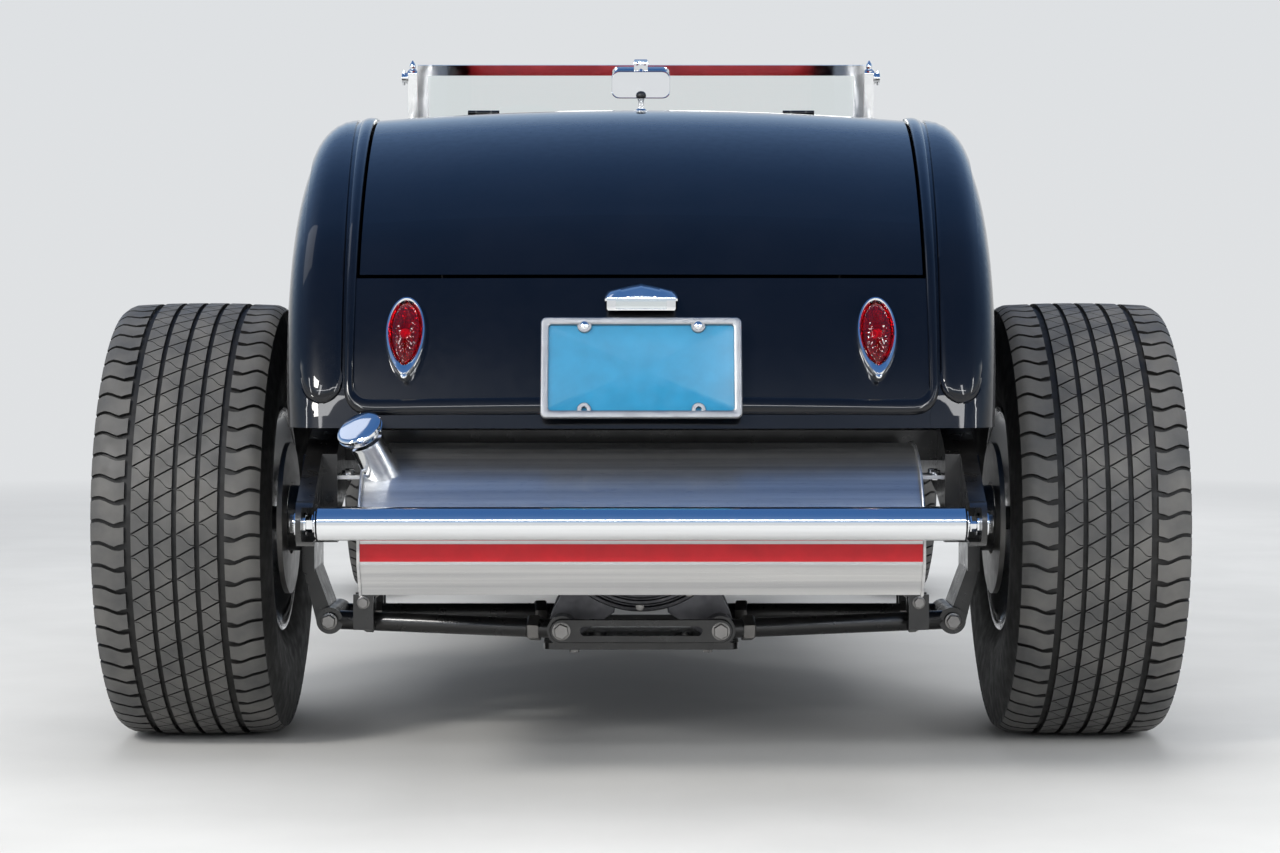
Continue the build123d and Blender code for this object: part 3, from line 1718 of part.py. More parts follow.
def plate_plane(offset=0):
    """Plane of the number plate, facing back, with its own y up the plate."""
    lean = radians(90 - tail_angle)
    outward = Vector(0, -cos(lean), sin(lean))
    origin = Vector(0, ahead(plate_ahead), plate_z) + outward * offset
    return Plane(origin=origin, x_dir=(1, 0, 0), z_dir=outward)


def number_plate():
    """Blank plate in a bright frame, on two spacers from the tail panel."""
    wide, high = plate_size
    with BuildPart() as plate:
        with BuildSketch(plate_plane()):
            RectangleRounded(wide, high, 12)
            with Locations((0, -high / 2 + 11)):
                with GridLocations(178, 0, 2, 1):
                    Circle(3.5, mode=Mode.SUBTRACT)
        extrude(amount=3)
        with BuildSketch(plate_plane(3)):
            RectangleRounded(wide, high, 12)
            RectangleRounded(wide - 24, high - 40, 8, mode=Mode.SUBTRACT)
            with Locations((0, -high / 2 + 11)):
                with GridLocations(178, 0, 2, 1):
                    Circle(3.5, mode=Mode.SUBTRACT)
        extrude(amount=5)
        with BuildSketch(plate_plane()):
            with Locations((0, high / 2 - 12)):
                with GridLocations(178, 0, 2, 1):
                    Circle(8)
        extrude(amount=-60)
        add(outer_form, mode=Mode.SUBTRACT)
    return plate.part


def plate_lamp():
    """Small lamp with a faceted hood above the plate."""
    distance, _ = tail_at(790)
    with BuildPart() as hood:
        add(
            side_plate(
                [
                    (distance + 30, 812),
                    (distance + 30, 771),
                    (distance - 22, 771),
                    (distance - 44, 782),
                    (distance - 40, 800),
                    (distance - 4, 812),
                ],
                (-plate_lamp_half, plate_lamp_half),
            )
        )
        with BuildSketch(station(-800)):
            Polygon(
                (-plate_lamp_half, 771),
                (-plate_lamp_half, 786),
                (-22, 812),
                (22, 812),
                (plate_lamp_half, 786),
                (plate_lamp_half, 771),
                align=None,
            )
        extrude(amount=-300, mode=Mode.INTERSECT)
        add(outer_form, mode=Mode.SUBTRACT)
    return hood.part.solids().sort_by(SortBy.VOLUME)[-1]


quarter_right = quarter()
keep("quarter_right", quarter_right)
keep("quarter_left", flipped(quarter_right))
keep("tail_panel", tail_panel())
keep("cockpit_rear_panel", cockpit_rear_panel())
keep("deck_lid", deck_lid())
door_right = door()
keep("door_right", door_right)
keep("door_left", flipped(door_right))
keep("cowl", cowl())
keep("floor_pan", floor_pan())

ladder_frame = frame()
keep("frame", ladder_frame)
keep("spreader_bars", spreader_bars())
keep("fuel_tank", fuel_tank())
keep("filler_cap", filler_cap())
keep("differential", differential())
keep("pivot_plate", tie_plate())
keep("lower_arms", lower_arms())
keep("coil_overs", pair(coil_overs()))
keep("rear_uprights", rear_uprights())
keep("drive_shafts", drive_shafts())

axle_beam = front_axle()
keep("front_axle", axle_beam)
knuckle_right = knuckle()
keep("knuckle_right", knuckle_right)
keep("knuckle_left", flipped(knuckle_right))
keep("tie_rod", tie_rod())
keep("pitman_arm", pitman_arm())
keep("steering_column", steering_column())
keep("steering_wheel", steering_wheel())
keep("front_spring", front_spring())
keep("radius_rods", radius_rods())

rear_tyre = tyre(rear_radius, rear_tyre_width, rear_tread_width, rear_rim_width)
rear_rim = rim(rear_rim_width, 40, 74, -86, 22, 0)
front_tyre = tyre(front_radius, front_tyre_width, front_tread_width, front_rim_width)
front_rim = rim(front_rim_width, 30, 56, -40, spindle_radius, 26)
rear_place = Pos(rear_track / 2, ahead(0), rear_radius)
front_place = Pos(front_track / 2, ahead(wheelbase), front_radius)
for name, part, place in (
    ("tyre_rear", rear_tyre, rear_place),
    ("rim_rear", rear_rim, rear_place),
    ("tyre_front", front_tyre, front_place),
    ("rim_front", front_rim, front_place),
):
    placed = place * part
    keep(f"{name}_right", placed)
    keep(f"{name}_left", flipped(placed))

hood_right = hood_side()
keep("hood_right", hood_right)
keep("hood_left", flipped(hood_right))
keep("hood_hinge", hood_hinge())
keep("grille_shell", grille_shell())
keep("grille_bars", grille_bars())
keep("radiator", radiator())
keep("headlamps", pair(headlamps()))
keep("headlamp_lenses", headlamp_lenses())

engine = engine_block()
keep("engine_block", engine)
keep("gearbox", gearbox())
keep("exhaust", exhaust())

shield_ring = windshield_frame()
keep("windshield_frame", shield_ring)
keep("windshield_glass", windshield_glass())
shield_posts = windshield_posts()
keep("windshield_posts", shield_posts)
keep("mirrors", mirrors())
keep("dashboard", dashboard())
keep("seat_cushion", seat_cushion())
keep("seat_back", seat_back())

bezel_pair = tail_lamp_bezels()
keep("tail_lamp_bezels", bezel_pair)
keep("tail_lamp_lenses", tail_lamp_lenses())
keep("number_plate", number_plate())
keep("plate_lamp", plate_lamp())

if __name__ == "__main__":
    os.makedirs("parts", exist_ok=True)
    for name, shape in shapes.items():
        export_step(shape, f"parts/{name}.step")
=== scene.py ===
"""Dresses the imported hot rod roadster: paint, tyres, wheels, lamps, suspension and upholstery.

Helpers take millimetres as (x, ahead, z), where ahead is the distance ahead of the rear
axle, the same places that the part's own source uses. Meshes are made in metres.
"""

import random
from math import acos, atan2, cos, pi, radians, sin, sqrt, tan

import bmesh
import bpy
from mathutils import Matrix, Vector
from mathutils.bvhtree import BVHTree


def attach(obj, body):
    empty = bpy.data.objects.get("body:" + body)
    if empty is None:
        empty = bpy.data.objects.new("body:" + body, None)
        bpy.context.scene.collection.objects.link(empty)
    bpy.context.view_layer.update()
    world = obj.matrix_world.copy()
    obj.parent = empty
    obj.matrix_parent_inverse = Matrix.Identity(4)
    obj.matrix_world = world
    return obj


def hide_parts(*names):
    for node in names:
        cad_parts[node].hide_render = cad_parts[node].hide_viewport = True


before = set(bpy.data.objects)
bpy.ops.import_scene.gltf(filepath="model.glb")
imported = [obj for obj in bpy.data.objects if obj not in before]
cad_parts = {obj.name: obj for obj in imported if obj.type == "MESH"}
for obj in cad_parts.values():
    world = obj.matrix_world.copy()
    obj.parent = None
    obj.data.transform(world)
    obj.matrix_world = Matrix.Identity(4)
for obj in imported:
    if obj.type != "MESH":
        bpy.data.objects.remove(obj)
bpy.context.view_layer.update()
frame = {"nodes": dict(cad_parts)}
nodes = frame["nodes"]
random.seed(5)

# Places and sizes in millimetres, the same as in the part's source
REAR_AXLE_Y = -1086
WHEELBASE = 2692
REAR_RADIUS = 392.5
REAR_WHEEL_X = 788
FRONT_RADIUS = 325
FRONT_WHEEL_X = 715
KINGPIN_X = 595
SIDES = ((-1, "left"), (1, "right"))

# Curve of the tail: a steep foot, a tight arc up to the deck's slope, then a wide arc
TAIL_SLOPE = radians(73)
TAIL_SETBACK = 715
TAIL_Z = 620
TAIL_ARC = 581
DECK_SLOPE = radians(35)
DECK_ARC = 1233
LID_FRONT = 228
PANEL_GAP = 6

# Things that several pieces share
TAIL_LAMP = (372, 735)
PLATE_LEAN = radians(17)
REAR_BAR = (-856, 445)
FRONT_BAR = (3032, 395)
INNER_PIVOT = (141, 204)
COIL_FOOT = (497, 249)
COIL_HEAD = (395, 520)
COIL_AHEAD = 95
FINAL_DRIVE_Z = 378
HEADLAMP = (392, 2740, 850)
GRILLE_FRONT = 2700


def at(x, ahead, z):
    """Point of the row frame in metres from millimetres."""
    return Vector((x, REAR_AXLE_Y + ahead, z)) / 1000


def circle(count):
    """Cosine and sine of evenly spaced angles round a circle."""
    return [(cos(2 * pi * i / count), sin(2 * pi * i / count)) for i in range(count)]


# Materials


class Finish:
    """A procedural material built up node by node."""

    def __init__(self, name, color, roughness, metallic=0.0):
        self.material = bpy.data.materials.new(name)
        self.material.use_nodes = True
        self.nodes = self.material.node_tree.nodes
        self.links = self.material.node_tree.links
        self.shader = self.nodes["Principled BSDF"]
        self.shader.inputs["Base Color"].default_value = color
        self.shader.inputs["Roughness"].default_value = roughness
        self.shader.inputs["Metallic"].default_value = metallic
        self.place = self.nodes.new("ShaderNodeTexCoord").outputs["Object"]

    def set(self, socket, value):
        """Fixed value of one of the shader's sockets."""
        self.shader.inputs[socket].default_value = value
        return self

    def noise(self, scale, stretch=(1, 1, 1), detail=4, rough=0.5):
        """Noise value over the object, its pattern squeezed along each axis by stretch."""
        mapping = self.nodes.new("ShaderNodeMapping")
        mapping.inputs["Scale"].default_value = stretch
        self.links.new(self.place, mapping.inputs["Vector"])
        texture = self.nodes.new("ShaderNodeTexNoise")
        texture.inputs["Scale"].default_value = scale
        texture.inputs["Detail"].default_value = detail
        texture.inputs["Roughness"].default_value = rough
        self.links.new(mapping.outputs["Vector"], texture.inputs["Vector"])
        return texture.outputs["Fac"]

    def cells(self, scale):
        """Distance to the nearest of scattered points, which gives a pebbled grain."""
        texture = self.nodes.new("ShaderNodeTexVoronoi")
        texture.inputs["Scale"].default_value = scale
        self.links.new(self.place, texture.inputs["Vector"])
        return texture.outputs["Distance"]

    def span(self, value, low, high, from_low=0.3, from_high=0.7):
        """Value moved from one range to another."""
        node = self.nodes.new("ShaderNodeMapRange")
        node.inputs["From Min"].default_value = from_low
        node.inputs["From Max"].default_value = from_high
        node.inputs["To Min"].default_value = low
        node.inputs["To Max"].default_value = high
        self.links.new(value, node.inputs["Value"])
        return node.outputs["Result"]

    def blend(self, value, first, second):
        """Base colour that runs between two colours with the value."""
        node = self.nodes.new("ShaderNodeMix")
        node.data_type = "RGBA"
        node.inputs["A"].default_value = first
        node.inputs["B"].default_value = second
        self.links.new(value, node.inputs["Factor"])
        self.links.new(node.outputs["Result"], self.shader.inputs["Base Color"])
        return self

    def rough(self, value):
        """Roughness that follows the value."""
        self.links.new(value, self.shader.inputs["Roughness"])
        return self

    def bump(self, value, depth, strength=1.0):
        """Surface relief from the value, its depth in millimetres."""
        node = self.nodes.new("ShaderNodeBump")
        node.inputs["Strength"].default_value = strength
        node.inputs["Distance"].default_value = depth / 1000
        self.links.new(value, node.inputs["Height"])
        last = self.shader.inputs["Normal"].links
        if last:
            self.links.new(last[0].from_socket, node.inputs["Normal"])
        self.links.new(node.outputs["Normal"], self.shader.inputs["Normal"])
        return self


def make_paint():
    """Deep gloss black with a clear coat, faint orange peel and a little dust."""
    paint = Finish("black_paint", (0.003, 0.0035, 0.006, 1), 0.3)
    paint.set("Coat Weight", 1.0).set("Coat Roughness", 0.015).set("Coat IOR", 1.42)
    paint.set("Specular IOR Level", 0.1)
    haze = paint.noise(9, detail=6)
    paint.blend(paint.span(haze, 0, 1), (0.0015, 0.0018, 0.003, 1), (0.0028, 0.0032, 0.005, 1))
    paint.rough(paint.span(paint.noise(60), 0.28, 0.36))
    return paint.bump(paint.noise(240, detail=1), 0.002).material


def make_frame_paint():
    """Semi-gloss black of the frame and suspension, with road grime in patches."""
    paint = Finish("chassis_black", (0.012, 0.012, 0.013, 1), 0.3)
    paint.set("Coat Weight", 0.5).set("Coat Roughness", 0.12)
    paint.blend(
        paint.span(paint.noise(24, detail=8), 0, 1), (0.004, 0.004, 0.0045, 1), (0.012, 0.0115, 0.011, 1)
    )
    paint.rough(paint.span(paint.noise(40), 0.24, 0.42))
    return paint.bump(paint.noise(450, detail=3), 0.02).material


def make_brushed():
    """Stainless sheet brushed along the tank, with long fine scratches."""
    metal = Finish("brushed_stainless", (0.62, 0.62, 0.61, 1), 0.3, 1.0)
    grain = metal.noise(60, (0.6, 40, 40), detail=8, rough=0.7)
    streaks = metal.noise(5, (0.15, 11, 11), detail=6)
    metal.blend(metal.span(streaks, 0, 1), (0.44, 0.44, 0.45, 1), (0.76, 0.75, 0.73, 1))
    metal.rough(metal.span(grain, 0.24, 0.44))
    tangent = metal.nodes.new("ShaderNodeTangent")
    tangent.direction_type = "RADIAL"
    tangent.axis = "X"
    metal.links.new(tangent.outputs["Tangent"], metal.shader.inputs["Tangent"])
    metal.set("Anisotropic", 0.75)
    return metal.bump(grain, 0.03).material


def make_chrome(name="chrome", tint=(0.86, 0.87, 0.88, 1)):
    """Bright plating with faint wiping marks."""
    metal = Finish(name, tint, 0.06, 1.0)
    metal.rough(metal.span(metal.noise(35, detail=6), 0.03, 0.11))
    return metal.bump(metal.noise(180, detail=2), 0.006).material


# The default grey is kept dark as painted shade for cast parts under the car
def make_cast(name="cast_aluminium", color=(0.3, 0.3, 0.31, 1)):
    """Cast metal with a sandy skin and darker dirt in patches."""
    metal = Finish(name, color, 0.42, 1.0)
    dirt = metal.noise(18, detail=8)
    dark = tuple(c * 0.55 for c in color[:3]) + (1,)
    metal.blend(metal.span(dirt, 0, 1, 0.35, 0.8), color, dark)
    metal.rough(metal.span(metal.noise(70), 0.34, 0.55))
    return metal.bump(metal.noise(700, detail=3), 0.06).material


def make_polished():
    """Polished wheel alloy."""
    metal = Finish("polished_alloy", (0.78, 0.78, 0.79, 1), 0.16, 1.0)
    metal.rough(metal.span(metal.noise(60, detail=5), 0.1, 0.24))
    return metal.bump(metal.noise(300, detail=2), 0.01).material


def make_rubber(name, clean, dusty):
    """Tyre rubber, a little browned and dusty, with fine pitting."""
    rubber = Finish(name, clean, 0.62)
    rubber.blend(rubber.span(rubber.noise(14, detail=8), 0, 1), clean, dusty)
    rubber.rough(rubber.span(rubber.noise(45, detail=5), 0.5, 0.75))
    rubber.set("Specular IOR Level", 0.45)
    return rubber.bump(rubber.noise(900, detail=3), 0.08).material


def make_leather():
    """Red hide: cell grain, fine creases and tone that varies in patches."""
    hide = Finish("red_leather", (0.42, 0.012, 0.018, 1), 0.42)
    hide.blend(hide.span(hide.noise(22, detail=6), 0, 1), (0.33, 0.008, 0.012, 1), (0.5, 0.022, 0.026, 1))
    hide.rough(hide.span(hide.noise(90, detail=4), 0.34, 0.55))
    hide.set("Coat Weight", 0.12).set("Coat Roughness", 0.3)
    hide.bump(hide.cells(620), 0.16)
    return hide.bump(hide.noise(160, detail=6), 0.1).material


def make_carpet():
    """Dark red loop carpet."""
    pile = Finish("carpet", (0.16, 0.008, 0.01, 1), 0.95)
    pile.blend(pile.span(pile.noise(500, detail=3), 0, 1), (0.09, 0.004, 0.005, 1), (0.24, 0.012, 0.015, 1))
    return pile.bump(pile.noise(900, detail=2), 0.9).material


def make_glass(name, color, roughness=0.0, specular=0.5):
    """See-through glass with a trace of dust."""
    glass = Finish(name, color, roughness)
    glass.set("Transmission Weight", 1.0).set("IOR", 1.45).set("Specular IOR Level", specular)
    glass.rough(glass.span(glass.noise(12, detail=8), roughness, roughness + 0.05, 0.45, 0.9))
    return glass.material


def make_plain(name, color, roughness, grain=200, depth=0.02, metallic=0.0):
    """Paint, plastic or tape with a light mottle and fine relief."""
    plain = Finish(name, color, roughness, metallic)
    deep = tuple(c * 0.82 for c in color[:3]) + (1,)
    plain.blend(plain.span(plain.noise(30, detail=6), 0, 1), color, deep)
    plain.rough(plain.span(plain.noise(50), roughness * 0.85, min(1, roughness * 1.2)))
    return plain.bump(plain.noise(grain, detail=3), depth).material


PAINT = make_paint()
SATIN = make_frame_paint()
BRUSHED = make_brushed()
CHROME = make_chrome()
CAST = make_cast()
# Darker copy of the cast metal for the final drive: painted shade under the car
SHADED_CAST = make_cast("shaded_cast", (0.13, 0.13, 0.14, 1))
POLISHED = make_polished()
RUBBER = make_rubber("tyre_rubber", (0.008, 0.008, 0.008, 1), (0.016, 0.015, 0.014, 1))
# Block tops: lighter for dust and scuffing, and lighter still as painted sunlight on the tops; the dark
# carcass in the grooves is painted shade
TREAD_DUST_AND_SUNLIGHT = make_rubber("tread_dust_and_sunlight", (0.065, 0.065, 0.065, 1), (0.12, 0.116, 0.11, 1))
LEATHER = make_leather()
CARPET = make_carpet()
GLASS = make_glass("clear_glass", (0.93, 0.97, 0.96, 1))
RED_GLASS = make_glass("red_lens", (0.55, 0.002, 0.004, 1), 0.02, 0.25)
# Bright red bulb and red dish behind the lens: painted glow at the lens centre, since no lamp lights them
BULB_PAINTED_GLOW = make_plain("bulb_painted_glow", (0.9, 0.02, 0.02, 1), 0.5)
DISH_PAINTED_GLOW = make_plain("dish_painted_glow", (0.5, 0.03, 0.035, 1), 0.4)
BRUSHED_FINE = make_plain("brushed_trim", (0.36, 0.36, 0.36, 1), 0.4, 500, 0.02, 1.0)
STRIPE = make_plain("red_stripe", (0.6, 0.004, 0.012, 1), 0.45)
PLASTIC = make_plain("black_plastic", (0.016, 0.016, 0.017, 1), 0.4, 600, 0.05)
STEEL = make_plain("bare_steel", (0.32, 0.31, 0.3, 1), 0.35, 500, 0.03, 1.0)
WHITE = make_plain("dial_white", (0.8, 0.78, 0.72, 1), 0.4)
TEAL = make_plain("plate_blue", (0.018, 0.23, 0.42, 1), 0.35, 300, 0.02)
ENAMEL = make_plain("engine_enamel", (0.02, 0.02, 0.022, 1), 0.3, 260, 0.05)


def refinish(material, *names):
    """One of the materials above for CAD nodes that stay in view."""
    for name in names:
        node = nodes[name]
        node.data.materials.clear()
        node.data.materials.append(material)


# Mesh helpers


class Form:
    """Collects mesh parts for one piece. Points are Vectors in metres."""

    def __init__(self):
        self.bm = bmesh.new()

    def add(self, points, faces):
        """Points with faces that name them by number."""
        verts = [self.bm.verts.new(p) for p in points]
        for face in faces:
            self.bm.faces.new([verts[i] for i in face])
        return self

    def rings(self, rings, closed=False, cap=True):
        """Skin over rows of points, each row a closed ring; open ends are capped."""
        rows = [[self.bm.verts.new(p) for p in ring] for ring in rings]
        pairs = list(zip(rows, rows[1:]))
        if closed:
            pairs.append((rows[-1], rows[0]))
        for first, second in pairs:
            count = len(first)
            for i in range(count):
                j = (i + 1) % count
                self.bm.faces.new((first[i], first[j], second[j], second[i]))
        if cap and not closed:
            self.bm.faces.new(rows[0][::-1])
            self.bm.faces.new(rows[-1])
        return self

    def lathe(self, origin, axis, profile, count=48, closed=False):
        """Turned form: profile is (along, radius) in mm from the origin along the axis."""
        way = Vector(axis).normalized()
        side = way.orthogonal().normalized()
        up = way.cross(side)
        rows = []
        for along, radius in profile:
            centre = Vector(origin) + way * (along / 1000)
            rows.append([centre + (side * a + up * b) * max(radius, 0.01) / 1000 for a, b in circle(count)])
        return self.rings(rows, closed)

    def rod(self, start, end, radius, count=24, bevel=1.0):
        """Round bar with a small chamfer at both ends."""
        length = (Vector(end) - Vector(start)).length * 1000
        bevel = min(bevel, radius * 0.4, length * 0.3)
        profile = [(0, radius - bevel), (bevel, radius), (length - bevel, radius), (length, radius - bevel)]
        return self.lathe(start, Vector(end) - Vector(start), profile, count)

    def hexagon(self, start, axis, radius, height, turn=0.0):
        """Hexagon nut or head with its corners turned down."""
        way = Vector(axis).normalized()
        side = way.orthogonal().normalized()
        up = way.cross(side)
        rows = []
        for along, share in ((0, 0.93), (0.12, 1.0), (0.88, 1.0), (1.0, 0.9)):
            centre = Vector(start) + way * (height * along / 1000)
            ring = []
            for i in range(6):
                angle = turn + pi / 3 * i
                ring.append(centre + (side * cos(angle) + up * sin(angle)) * radius * share / 1000)
            rows.append(ring)
        return self.rings(rows)

    def bolt(self, start, axis, size=8):
        """Washer, hexagon head and round end, standing on a surface."""
        way = Vector(axis).normalized()
        self.lathe(start, way, [(-0.5, size * 1.15), (1.2, size * 1.15), (1.6, size * 1.05)], 24)
        self.hexagon(Vector(start) + way * 0.0015, way, size, size * 0.8, random.random())
        return self

    def tube(self, path, radius, count=16, cap=True, closed=False):
        """Round bar along a path of points, each radius in mm or one for all."""
        path = [Vector(p) for p in path]
        size = radius if isinstance(radius, (list, tuple)) else [radius] * len(path)
        rows = []
        normal = None
        last = len(path) - 1
        for i, p in enumerate(path):
            before = path[i - 1] if i or closed else p
            after = path[(i + 1) % len(path)] if i < last or closed else p
            way = (after - before).normalized()
            if normal is None:
                normal = way.orthogonal().normalized()
            normal = (normal - way * normal.dot(way)).normalized()
            side = way.cross(normal)
            rows.append([p + (normal * a + side * b) * size[i] / 1000 for a, b in circle(count)])
        return self.rings(rows, closed, cap)

    def plate(self, outline, lift, bevel=0.0):
        """Flat plate: outline is a list of points, lift its thickness as a Vector."""
        centre = sum((Vector(p) for p in outline), Vector()) / len(outline)
        lift = Vector(lift)
        rows = []
        levels = ((0, 1), (1, 1))
        if bevel:
            reach = max((Vector(p) - centre).length for p in outline) * 1000
            share = 1 - bevel / reach
            step = min(0.45, bevel / (lift.length * 1000))
            levels = ((0, share), (step, 1), (1 - step, 1), (1, share))
        for along, share in levels:
            rows.append([centre + (Vector(p) - centre) * share + lift * along for p in outline])
        return self.rings(rows)

    def box(self, x_span, ahead_span, z_span, bevel=1.0):
        """Block between two x, two distances ahead and two heights, edges broken."""
        corners = [
            at(x_span[0], ahead_span[0], z_span[0]), at(x_span[1], ahead_span[0], z_span[0]),
            at(x_span[1], ahead_span[1], z_span[0]), at(x_span[0], ahead_span[1], z_span[0]),
        ]
        return self.plate(corners, (0, 0, (z_span[1] - z_span[0]) / 1000), bevel)

    def piece(self, name, body, material, slot, smooth=35):
        """Makes the Blender object, which rides on a CAD body."""
        bmesh.ops.recalc_face_normals(self.bm, faces=self.bm.faces[:])
        mesh = bpy.data.meshes.new(name)
        self.bm.to_mesh(mesh)
        self.bm.free()
        made = bpy.data.objects.new(name, mesh)
        bpy.context.scene.collection.objects.link(made)
        mesh.materials.append(material)
        shade(made, smooth)
        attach(made, body)
        return made


def shade(made, angle):
    """Smooth shading that keeps edges sharper than the angle."""
    mesh = made.data
    mesh.polygons.foreach_set("use_smooth", [True] * len(mesh.polygons))
    mesh.update()
    bm = bmesh.new()
    bm.from_mesh(mesh)
    for edge in bm.edges:
        edge.smooth = len(edge.link_faces) == 2 and edge.calc_face_angle(0) < radians(angle)
    bm.to_mesh(mesh)
    bm.free()
    mesh.update()


# Tyres


BEAD_RADIUS = 203
SPOKES = 5
TREAD_DEPTH = 8


def carcass_radius(x, radius, tread):
    """Radius of the tread surface across the tyre, crowned and rolled over at the shoulders."""
    crown = 3 * (x / (tread / 2)) ** 2
    over = max(0, abs(x) - tread / 2)
    return radius - crown - over * over * 0.02 - over * 0.14


def tread_point(x, turn, lift, radius, tread):
    """Point on the tread, x across, turn round the axle, lifted off the groove floor."""
    r = (carcass_radius(x, radius, tread) - TREAD_DEPTH + lift) / 1000
    return Vector((x / 1000, r * cos(turn), r * sin(turn)))


def lay_block(form, low, high, stations, turn, depth, size):
    """One tread block: its edges low and high run across the stations; gaps stay round it."""
    top, foot = [], []
    for x in stations:
        a, b = low(x), high(x)
        for row, lift in ((top, depth), (foot, -1)):
            row.append([tread_point(x, turn + s / size[0], lift, *size) for s in (a, (a + b) / 2, b)])
    bm = form.bm
    crest = [[bm.verts.new(p) for p in row] for row in top]
    base = [[bm.verts.new(p) for p in row] for row in foot]
    for i in range(len(stations) - 1):
        for k in (0, 1):
            face = bm.faces.new((crest[i][k], crest[i + 1][k], crest[i + 1][k + 1], crest[i][k + 1]))
            # Block tops take the second material: dust plus painted sunlight
            face.material_index = 1
        bm.faces.new((base[i][0], base[i + 1][0], crest[i + 1][0], crest[i][0]))
        bm.faces.new((crest[i][2], crest[i + 1][2], base[i + 1][2], base[i][2]))
    for i in (0, -1):
        for k in (0, 1):
            face = (crest[i][k], crest[i][k + 1], base[i][k + 1], base[i][k])
            bm.faces.new(face if i == 0 else face[::-1])


def make_tyre(name, body, centre, radius, width, tread, rim_half, pitches, ribs):
    """Radial tyre: smooth carcass with sidewall rings, and siped tread blocks laid on it."""
    size = (radius, tread)
    form = Form()
    half = width / 2
    edge = tread / 2 + (half - tread / 2) * 0.62
    rows = []
    steps = 26
    for i in range(steps + 1):
        x = -edge + 2 * edge * i / steps
        rows.append((x, carcass_radius(x, *size) - TREAD_DEPTH))
    wall_top = rows[-1][1]
    wall = []
    for i in range(1, 15):
        share = i / 15
        r = wall_top + (BEAD_RADIUS - wall_top) * share
        bulge = half - 1.2 - (half - edge) * (1 - sin(min(1, share * 2.4) * pi / 2)) ** 2
        inward = (half - rim_half - 2) * max(0, (share - 0.45) / 0.55) ** 2
        ring = 1.2 if 0.3 < share < 0.42 or 0.78 < share < 0.86 else 0
        wall.append((bulge - inward + ring, r))
    wall += [(rim_half - 1, BEAD_RADIUS), (rim_half - 1, BEAD_RADIUS - 12)]
    profile = [(-x, r) for x, r in reversed(wall)] + rows + wall
    form.lathe((0, 0, 0), (1, 0, 0), profile, 144, closed=True)
    gap = 3.3
    sipe = 0.8
    pitch = 2 * pi * radius / pitches
    slope = -0.56
    for number in range(pitches):
        turn = 2 * pi * number / pitches
        for rib, (start, end) in enumerate(ribs):
            span = end - start
            across = [start + span * k / 6 for k in range(7)]
            shift = pitch * (0.5 if rib % 2 else 0.0)
            rise = span * slope

            def lower(x, start=start, shift=shift):
                """Edge of the block at x, towards the groove before it."""
                return shift + slope * (x - start) + gap / 2

            def middle(x, start=start, span=span, shift=shift, rise=rise):
                """Wavy sipe that splits the block in two."""
                share = (x - start) / span
                wave = sin(share * 2 * pi) * 3.2
                return shift + 2 + (pitch - 2 + rise) * share - 3 * share - wave

            def upper(x, start=start, shift=shift):
                """Edge of the block at x, towards the groove after it."""
                return shift + pitch + slope * (x - start) - gap / 2

            lay_block(
                form, lower, lambda x: max(lower(x) + 0.6, middle(x) - sipe), across, turn, TREAD_DEPTH,
                size
            )
            lay_block(
                form, lambda x: min(upper(x) - 0.6, middle(x) + sipe), upper, across, turn, TREAD_DEPTH,
                size
            )
        shoulder = max(end for start, end in ribs) + (12 if radius > 350 else 8)
        for side in (-1, 1):
            outer = edge + 1
            across = [shoulder + (outer - shoulder) * k / 7 for k in range(8)]

            def wavy(x, offset):
                """Curved edge of a shoulder block."""
                share = (x - shoulder) / (outer - shoulder)
                return offset + sin(share * 2.1 * pi) * 3.4 - share * 7

            shift = pitch * (0.25 if side > 0 else 0.6)
            stations = [side * x for x in across]
            notch = 8.5
            lay_block(
                form, lambda x: wavy(abs(x), shift + gap),
                lambda x: wavy(abs(x), shift + pitch - gap) - (
                    notch * 0.45 if abs(x) < shoulder + 9 else 0
                ),
                stations, turn, TREAD_DEPTH - 0.6, size,
            )
    form.bm.transform(Matrix.Translation(centre))
    made = form.piece(name, body, RUBBER, "tyre_rubber", smooth=32)
    # Second material for the block tops: dust and painted sunlight
    made.data.materials.append(TREAD_DUST_AND_SUNLIGHT)
    return made


